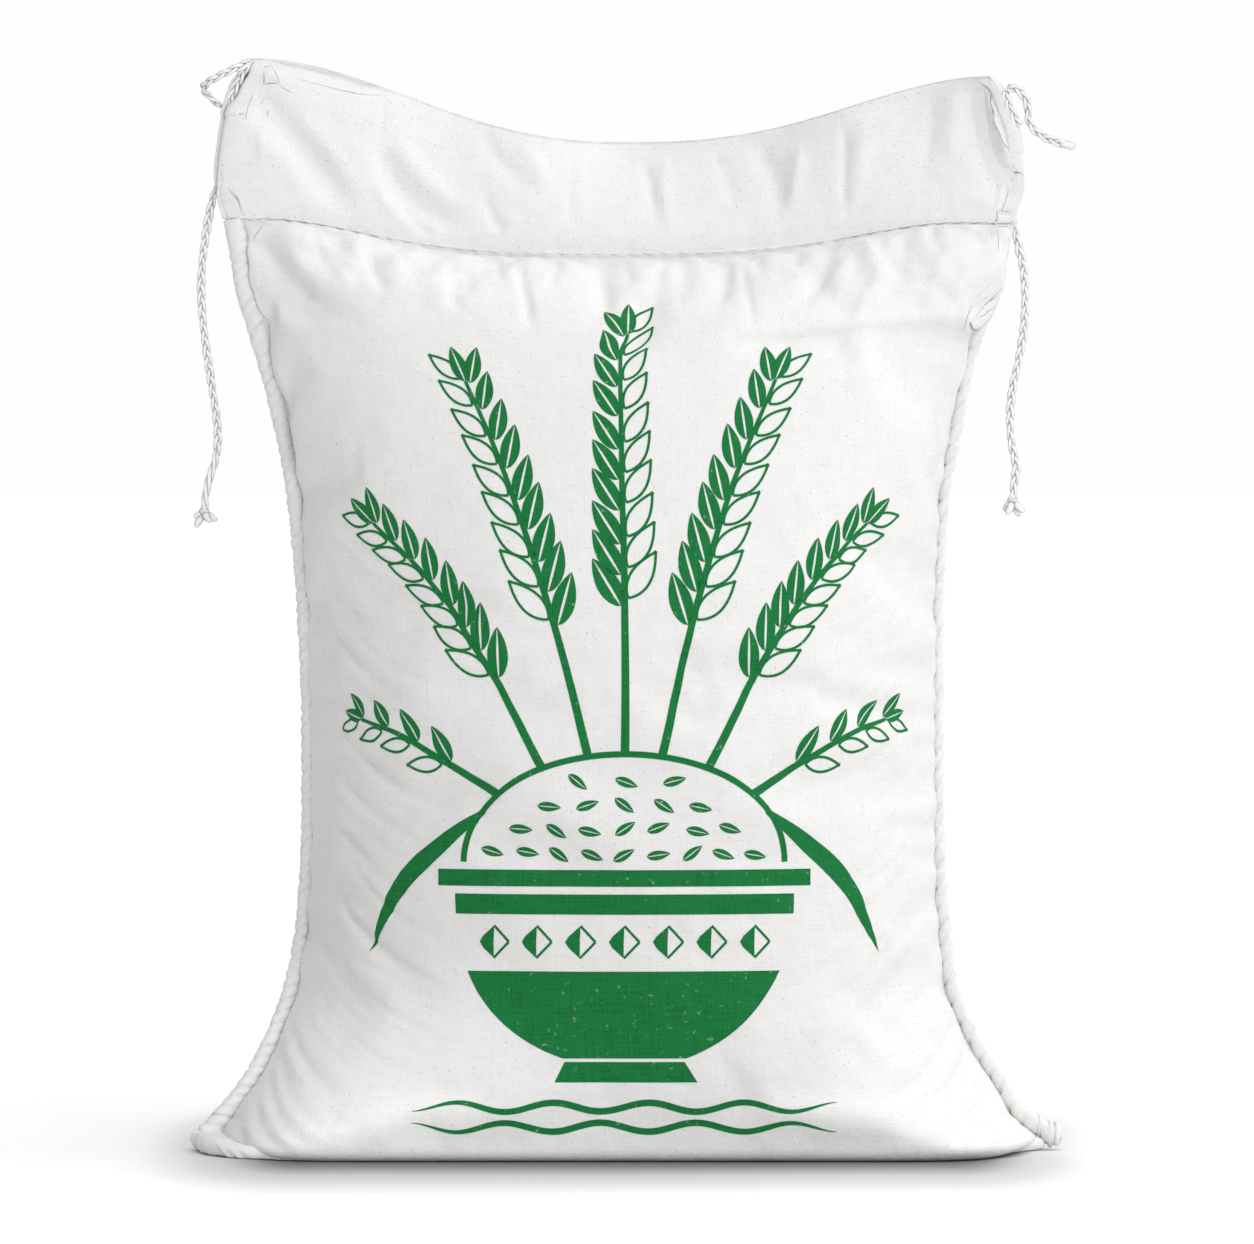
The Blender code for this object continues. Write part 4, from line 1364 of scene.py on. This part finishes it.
def grain_shapes(foot, direction, length, width, solid):
    """A husked grain: two solid halves with a slit between, or its outline."""
    direction = np.array(direction) / np.hypot(*direction)
    aside = np.array((-direction[1], direction[0]))
    s = np.linspace(0, 1, max(6, round(length / (0.8 * INK_STEP))))
    half = width / 2 * np.sin(math.pi * s**0.8) ** 0.85
    spine = foot + np.outer(s * length, direction)
    out, thick = half * 0.56, half * 0.44
    if not solid:
        out, thick = np.maximum(half - GRAIN_RIM * 0.5, 0), GRAIN_RIM * 0.62
    return [ribbon(spine + aside * (sign * out)[:, None], thick) for sign in (-1, 1)]


EAR_STEM = (1.9 * MM, 0.8 * MM)
GRAINS_FROM = 0.34


def ear_shapes(points, grain_count, grain_length):
    """A rice ear: a stem with husked grains in pairs, solid ones inside its bend."""
    line = ink_line(points)
    s = np.linspace(0, 1, len(line))
    shapes = [ribbon(line, EAR_STEM[0] + (EAR_STEM[1] - EAR_STEM[0]) * s)]
    turn = 1 if points[-1][0] >= 0 else -1
    for k in range(grain_count):
        at = GRAINS_FROM + (1 - GRAINS_FROM) * k / (grain_count - 1)
        i = min(int(at * (len(line) - 1)), len(line) - 2)
        ahead = line[i + 1] - line[i]
        ahead /= np.hypot(*ahead)
        aside = np.array((-ahead[1], ahead[0]))
        size = grain_length * (1 - 0.28 * k / grain_count)
        for sign in (-1, 1):
            lean = ahead * 0.84 + aside * sign * 0.50
            foot = line[i] + aside * sign * 1.6 * MM + ahead * (0 if sign == turn else 3.4 * MM)
            shapes += grain_shapes(foot, lean, size, size * 0.42, sign == turn)
    tip = line[-1] - line[-2]
    return shapes + grain_shapes(line[-1], tip, grain_length * 0.75, grain_length * 0.3, True)


def lozenge_shapes(centre, half_width, half_height):
    """A two-tone lozenge: one half solid, the other an outline."""
    u, v = centre
    s = np.linspace(-1, 1, 11)
    edge = half_width * (1 - np.abs(s))
    shapes = [ribbon(np.stack((u - edge / 2, v + s * half_height), axis=-1), edge / 2)]
    for end in (-1, 1):
        rim = np.linspace((u, v + end * half_height), (u + half_width, v), 9)[::-end]
        shapes.append(ribbon(rim, 0.55 * MM))
    return shapes


BOWL_RIM = 0.128
HEAP_HALF_WIDTH, HEAP_HEIGHT = 0.071, 0.050
EARS = (
    (0.000, ((0.001, 0.262), (0.000, 0.332), (0.000, 0.372)), 10, 24 * MM),
    (0.016, ((0.031, 0.242), (0.049, 0.300), (0.068, 0.346)), 9, 24 * MM),
    (0.036, ((0.060, 0.220), (0.087, 0.258), (0.113, 0.282)), 8, 22 * MM),
    (0.056, ((0.080, 0.178), (0.104, 0.190), (0.127, 0.196)), 4, 18 * MM),
)


def heap_top(u):
    return BOWL_RIM + 4 * MM + HEAP_HEIGHT * (1 - (u / HEAP_HALF_WIDTH) ** 2) ** 0.45


BOWL_DEPTH = 0.071
BAND_GAP = 7 * MM
LOZENGES, LOZENGE_PITCH, LOZENGE_DEPTH = 7, 0.0190, 0.29


def bowl_shapes():
    """A footed bowl with a row of two-tone lozenges round it."""
    rim = np.stack((np.linspace(-0.083, 0.083, 110), np.full(110, BOWL_RIM)), axis=-1)
    depth = np.linspace(0, 1, 50)
    half = 0.075 * np.sqrt(1 - (depth * 0.94) ** 2.2)
    body = np.stack((0 * depth, BOWL_RIM - BAND_GAP - depth * BOWL_DEPTH), axis=-1)
    shapes = [ribbon(rim, 3.6 * MM)]
    for part in (depth <= 0.13, depth >= 0.45):
        shapes.append(ribbon(body[part], half[part]))
    for k in range(LOZENGES):
        across = (k - LOZENGES // 2) * LOZENGE_PITCH
        middle = (across, BOWL_RIM - BAND_GAP - LOZENGE_DEPTH * BOWL_DEPTH)
        shapes += lozenge_shapes(middle, 6.6 * MM, 7.0 * MM)
    foot = np.stack((np.zeros(6), np.linspace(0.0485, 0.0395, 6)), axis=-1)
    return shapes + [ribbon(foot, np.linspace(0.026, 0.031, 6))]


def heap_shapes():
    """The rice in the bowl: a domed outline with loose grains in it."""
    rng = np.random.default_rng(8)
    u = HEAP_HALF_WIDTH * np.sin(np.linspace(-1.53, 1.53, 110))
    shapes = [ribbon(np.stack((u, heap_top(u)), axis=-1), 1.35 * MM)]
    for row in range(4):
        reach = 0.058 - 0.0125 * row
        for place in np.linspace(-reach, reach, 9 - 2 * row):
            foot = np.array((place, BOWL_RIM + 10.5 * MM + 0.0105 * row)) + rng.uniform(-1, 1, 2) * MM
            angle = rng.uniform(-0.8, 0.8)
            heading = np.array((math.cos(angle), math.sin(angle)))
            shapes += grain_shapes(foot - heading * 5 * MM, heading, 10.5 * MM, 4.2 * MM, True)
    return shapes


BLADE = ((0.062, 0.157), (0.082, 0.142), (0.104, 0.122), (0.122, 0.090))
WAVE_LINES = ((0.0285, 1.0), (0.0195, -1.0))


def print_shapes():
    """The green print: ears of rice that fan out of a bowl heaped with grain, over two waves."""
    shapes = bowl_shapes() + heap_shapes()
    for foot, bends, grains, grain_length in EARS:
        for side in (LEFT, RIGHT) if foot else (RIGHT,):
            line = [(side * u, v) for u, v in ((foot, heap_top(foot)), *bends)]
            shapes += ear_shapes(line, grains, grain_length)
    for side in (LEFT, RIGHT):
        blade = ink_line([(side * u, v) for u, v in BLADE])
        s = np.linspace(0, 1, len(blade))
        shapes.append(ribbon(blade, 4.2 * MM * np.sin(math.pi * np.minimum(s + 0.06, 1.0)) ** 0.8))
    u = np.linspace(-0.092, 0.092, 140)
    for height, swing in WAVE_LINES:
        wave = np.stack((u, height + swing * 2.0 * MM * np.sin(u / (6.6 * MM))), axis=-1)
        shapes.append(ribbon(wave, 1.5 * MM * (1 - (u / 0.094) ** 4)))
    return shapes


def make_print(panel, material):
    flat, faces = join_shapes(print_shapes())
    points = panel.at(flat[:, 0], flat[:, 1], INK_LIFT)
    make_piece("print_front", points, faces, material, "print", flat)


EAR_LIE = {LEFT: 4.6 * MM, RIGHT: 6.2 * MM}
FLAPS = {
    LEFT: ((0.1870, -0.0020, 0.0042), (0.1845, -0.0200, 0.0040), (0.1785, -0.0410, 0.0034),
           (0.1680, -0.0560, 0.0026), (0.1560, -0.0650, 0.0016), (0.1450, -0.0700, 0.0008)),
    RIGHT: ((0.1810, -0.0030, 0.0030), (0.1770, -0.0080, 0.0024), (0.1710, -0.0160, 0.0016),
            (0.1650, -0.0240, 0.0008)),
}
FLAP_SPREAD = {LEFT: 3.0, RIGHT: 1.0}
FLAP_RADII = {
    LEFT: ((0.0, 4.2 * MM), (0.35, 3.6 * MM), (0.75, 2.6 * MM), (1.0, 1.0 * MM)),
    RIGHT: ((0.0, 3.0 * MM), (0.35, 2.6 * MM), (0.75, 1.8 * MM), (1.0, 0.7 * MM)),
}


FLAP_LUMPS = 0.55 * MM


def make_flap(side, material):
    """The fold of the bottom corner that runs from the ear along the floor."""
    path = route([(side * x, y, z) for x, y, z in FLAPS[side]], 0.8 * MM)
    walked = lengths_along(path)
    points, faces = tube(path, through(FLAP_RADII[side], walked / walked[-1]), 20)
    nearest = nearest_on(path, points)
    inward = -path[nearest] * (1.0, 1.0, 0.0)
    inward /= np.linalg.norm(inward, axis=1)[:, None]
    depth = np.maximum(((points - path[nearest]) * inward).sum(axis=1), 0.0)
    points += FLAP_SPREAD[side] * depth[:, None] * inward
    x, y, z = points.T
    points += FLAP_LUMPS * lattice_noise(x + z, y - z, 4.2 * MM, 84)[:, None]
    points[:, 2] = np.maximum(points[:, 2], 0.1 * MM)
    make_piece(f"corner_flap_{SIDE_NAMES[side]}", points, faces, material, "cotton")


def welt_path(side):
    low = EAR_LIE[side]
    tip, root = side * (EAR_REACH - 0.2 * MM), side * (EAR_REACH - EAR_LENGTH)
    guides = [(tip, 0.0, low), (root, 0.0, low + 1.4 * MM)]
    for level in np.linspace(WELT_FOOT, WELT_TOP[side], WELT_GUIDES):
        guides.append((side * float(inside_edge(side, level, welt_half_width(side, level))), 0.0, level))
    return route(guides, WELT_STEP)


WELT_SIDES = 32
WELT_STEP = 0.8 * MM
WELT_PROUD = 1.03
FLAT_SEAM_HALF_DEPTH = {LEFT: 2.9 * MM, RIGHT: 2.6 * MM}
WRAP = {
    LEFT: {"pitch": 5.4 * MM, "groove": 0.62 * MM, "width": 0.15, "turns": -2.2},
    RIGHT: {"pitch": 8.5 * MM, "groove": 1.15 * MM, "width": 0.15, "turns": -1.5},
}


# The strip that is knotted round the end of the right ear, and the ear's swellings there: each one's
# height, place and length.
EAR_KNOT_PLACES = (2.6 * MM, 7.4 * MM)
EAR_KNOT_REACH = 4.5 * MM
EAR_KNOT_RADIUS = 1.25 * MM
EAR_KNOT_TURNS = (0.1, 1.7)
EAR_KNOT_STEPS = 90
EAR_SWELLS = ((0.9 * MM, 4.5 * MM, 3.5 * MM), (-0.6 * MM, 10.5 * MM, 2.0 * MM))


def welt_points(side, path, wide, deep, flat, out, over):
    """The rolled seam's surface: lumpy, and creased by the thread that whips it."""
    walked = lengths_along(path)
    jitters = np.random.default_rng(70 + side).uniform(-1, 1, 25)
    jitter = 1.6 * MM * np.interp(walked, np.arange(0, 0.5, 0.02), jitters)
    angle = np.linspace(0, 2 * math.pi, WELT_SIDES, endpoint=False)
    wrap = WRAP[side]
    phase = (walked + jitter)[:, None] / wrap["pitch"] + wrap["turns"] * angle[None, :] / (2 * math.pi)
    crease = np.exp(-(((phase + 0.5) % 1 - 0.5) / wrap["width"]) ** 2)
    lumps = lattice_noise(walked[:, None] * 1.0, angle[None, :] * 2.4 * MM, 4.5 * MM, 75 + side)
    fine = lattice_noise(phase * 3.0 * MM, 0.25 * walked[:, None] + 0 * phase, 1.1 * MM, 78 + side)
    ear = 1 - smooth_step(walked, 8 * MM, 16 * MM)[:, None]
    swell = ((0.25 + 0.45 * ear) * lumps + 0.30 * fine) * MM
    swell -= wrap["groove"] * crease * (1 - 0.35 * flat[:, None])
    for height, place, length in EAR_SWELLS if side == RIGHT else ():
        swell += (height * np.exp(-(((walked - place) / length) ** 2)))[:, None]
    end = np.minimum(1.0, walked / (1.1 * EAR_RADIUS))
    blunt = np.sqrt(1 - (1 - end) ** 2 + 0.02)[:, None, None]
    outward = (np.cos(angle)[None, :] * (wide[:, None] * WELT_PROUD + swell))[..., None] * out[:, None]
    forward = (np.sin(angle)[None, :] * (deep[:, None] * WELT_PROUD + swell))[..., None] * over[:, None]
    return path[:, None] + blunt * (outward + forward)


def make_ear_knot(path, out, over, material):
    """The strip that is knotted round the right ear's end: a short coil that rests on the floor."""
    turn = 2 * math.pi * np.linspace(*EAR_KNOT_TURNS, EAR_KNOT_STEPS)
    middle = sampled(path, lengths_along(path), np.linspace(*EAR_KNOT_PLACES, EAR_KNOT_STEPS))
    ring = np.cos(turn)[:, None] * out[0] + np.sin(turn)[:, None] * over[0]
    coil = middle + EAR_KNOT_REACH * (1 + 0.10 * np.sin(2.3 * turn))[:, None] * ring
    coil[:, 2] = np.maximum(coil[:, 2], EAR_KNOT_RADIUS + 0.2 * MM)
    radii = EAR_KNOT_RADIUS * (0.75 + 0.25 * np.sin(np.linspace(0, math.pi, EAR_KNOT_STEPS)))
    make_piece("ear_knot", *tube(coil, radii, 12), material, "seam_cotton")


def make_welt(side, material, thread):
    """The rolled seam with its blunt ear, and the thread that whips it."""
    path = welt_path(side)
    level = path[:, 2]
    flat = smooth_step(level, *FLAT_SEAM[side])
    wide = welt_half_width(side, level)
    deep = welt_radius(level) * (1 - flat) + FLAT_SEAM_HALF_DEPTH[side] * flat
    out, over = frames_along(path)[1:]
    points = welt_points(side, path, wide, deep, flat, out, over)
    faces = tube_faces(len(path), WELT_SIDES)
    name = SIDE_NAMES[side]
    piece = make_piece(f"welt_{name}", points.reshape(-1, 3), faces, material, "seam_cotton")
    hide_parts(f"side_welt_{name}")
    if side == RIGHT:
        make_ear_knot(path, out, over, material)
    walked = lengths_along(path)
    turns = np.arange(0, walked[-1], WELT_STEP)
    spiral = 2 * math.pi * (1 - turns / WRAP[side]["pitch"]) / WRAP[side]["turns"]
    across = np.cos(spiral) * np.interp(turns, walked, wide)
    forward = np.sin(spiral) * np.interp(turns, walked, deep)
    ring = across[:, None] * sampled(out, walked, turns)
    ring += forward[:, None] * sampled(over, walked, turns)
    line = (sampled(path, walked, turns) + ring * 1.02)[turns > 8 * MM]
    make_piece(f"welt_thread_{name}", *tube(line, 0.22 * MM, 6), thread, "cord")


# The painted shadow under the bag, on the floor: half the size of its darkest part, how far it
# reaches past that, how far back its middle lies, and its lightness along the way out. It is paler
# behind the bag.
SHADE_CORE = (0.140, 0.082)
SHADE_REACH = (0.085, 0.283)
SHADE_BACK = 0.03
SHADE_LIFTS = (-0.06, 0.05)
SHADE_LIFTED = 0.66
SHADE = ((0.0, 0.08), (0.22, 0.25), (0.375, 0.53), (0.59, 0.71), (0.80, 0.89), (1.0, 0.97))


def make_floor():
    """A pale floor that runs back to the horizon, with a painted shadow close to the bag's base."""
    bpy.ops.mesh.primitive_plane_add(size=60.0, location=(0, 0, -0.2 * MM))
    floor = bpy.context.object
    floor.name = "floor"
    material, tree = make_material("floor_painted_shadow", 0.9, 0.0)
    place = separated(tree, add_node(tree, "ShaderNodeTexCoord", {}).outputs["Object"])
    squares = []
    for axis, core, reach in zip((0, 1), SHADE_CORE, SHADE_REACH):
        along = math_node(tree, "SUBTRACT", place[axis], SHADE_BACK * axis)
        past = math_node(tree, "SUBTRACT", math_node(tree, "ABSOLUTE", along), core)
        share = math_node(tree, "DIVIDE", math_node(tree, "MAXIMUM", past, 0.0), reach)
        squares.append(math_node(tree, "POWER", share, 2.0))
    distance = math_node(tree, "SQRT", math_node(tree, "ADD", *squares))
    # The floor's colour is a painted shadow: dark near the base, light further out.
    ramp = add_node(tree, "ShaderNodeValToRGB", {"Fac": distance})
    ramp.color_ramp.interpolation = "CARDINAL"
    stops = ramp.color_ramp.elements
    stops[0].color = (SHADE[0][1],) * 3 + (1.0,)
    stops[1].color = (SHADE[-1][1],) * 3 + (1.0,)
    for at, lightness in SHADE[1:-1]:
        stops.new(at).color = (lightness,) * 3 + (1.0,)
    behind = map_range(tree, place["Y"], *SHADE_LIFTS, 0.0, SHADE_LIFTED)
    finish_material(material, math_node(tree, "MAXIMUM", ramp.outputs["Color"], behind))
    floor.data.materials.append(material)


def add_light(kind, name, location, target, watts, **settings):
    data = bpy.data.lights.new(name, kind)
    data.energy = watts
    for setting, value in settings.items():
        setattr(data, setting, value)
    light = bpy.data.objects.new(name, data)
    light.location = location
    aim = Vector(target) - Vector(location)
    light.rotation_euler = aim.to_track_quat("-Z", "Y").to_euler()
    bpy.context.scene.collection.objects.link(light)


# Low lights along the base stand for the light that a bright floor would throw up at it. The watts
# and the aim are each the value at the middle of the base, and its gain for a metre to the right.
BASE_SPOTS = 7
BASE_SPOTS_REACH = 0.165
BASE_SPOT_FROM = (-1.6, 0.03)
BASE_SPOT_ANGLE = math.radians(5.6)
BASE_SPOT_SOFT = 0.03
BASE_SPOT_WATTS = (13.2, -48.0)
BASE_SPOT_AIM = (0.006, -0.10)


# The key light, and the sky: the glow's direction and strengths, the horizon's, and how much brighter
# the sky is before the bag, and dimmer to its left.
KEY = {"location": (1.25, -2.5, 1.2), "target": (0.0, 0.0, 0.22), "watts": 8.8}
KEY_SIZE = 0.6
GLOW_FROM = (0.36, -0.10, 0.928)
GLOW = (0.42, 0.88, 0.10, 1.88)
HORIZON = 0.99
FRONT_FILL = 0.305
LEFT_DIM = -0.42


def make_sky():
    """A white studio: white at the horizon, dim above it, with a broad glow high on the right."""
    world = bpy.data.worlds.new("world")
    world.use_nodes = True
    tree = world.node_tree
    towards = add_node(tree, "ShaderNodeTexCoord", {}).outputs["Generated"]
    place = separated(tree, towards)
    inputs = {0: towards, 1: GLOW_FROM}
    near = add_node(tree, "ShaderNodeVectorMath", inputs, operation="DOT_PRODUCT").outputs["Value"]
    height = map_range(tree, place["Z"], 0.10, 0.42, 0.0, 1.0)
    inputs = {"Factor": height, "A": HORIZON, "B": map_range(tree, near, *GLOW)}
    sky = add_node(tree, "ShaderNodeMix", inputs, data_type="FLOAT").outputs["Result"]
    fill = map_range(tree, place["Y"], -0.9, -0.2, FRONT_FILL, 0.0)
    dim = map_range(tree, place["X"], -0.75, -0.25, LEFT_DIM, 0.0)
    strength = math_node(tree, "ADD", math_node(tree, "ADD", sky, fill), dim)
    background = tree.nodes["Background"]
    background.inputs["Color"].default_value = (1.0, 1.0, 1.0, 1.0)
    tree.links.new(math_node(tree, "MAXIMUM", strength, 0.05), background.inputs["Strength"])
    bpy.context.scene.world = world
    bpy.context.scene.view_settings.view_transform = "Standard"


def make_lights():
    make_sky()
    add_light("AREA", "key", **KEY, shape="DISK", size=KEY_SIZE)
    y, z = BASE_SPOT_FROM
    for place in np.linspace(-BASE_SPOTS_REACH, BASE_SPOTS_REACH, BASE_SPOTS):
        watts, aim = (middle + gain * place for middle, gain in (BASE_SPOT_WATTS, BASE_SPOT_AIM))
        add_light(
            "SPOT", "base_fill", (place, y, z), (place, 0.0, aim), watts,
            spot_size=BASE_SPOT_ANGLE, spot_blend=1.0, shadow_soft_size=BASE_SPOT_SOFT,
        )


def main():
    make_camera()
    thread, braid = thread_material(), painted_shade_braid_material()
    make_cords(braid)
    make_inner_cords(braid)
    cotton, seam, ink, shade_strip = cotton_material(), seam_material(), ink_material(), shade_strip_material()
    front, back = Panel(FRONT), Panel(BACK)
    for panel, relief_of in ((front, front_relief), (back, back_relief)):
        cloth = make_cloth(panel, settle(panel) + relief_of(panel), cotton)
        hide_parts("sack")
    make_tacks(front, seam, thread)
    make_shade_strips(front, shade_strip)
    for panel in (front, back):
        make_hem_threads(panel, thread)
        make_seam_threads(panel, thread)
        make_hem_strips(panel, seam, thread)
    make_print(front, ink)
    for side in (LEFT, RIGHT):
        make_welt(side, seam, thread)
        make_flap(side, cotton)
    make_floor()
    make_lights()


main()
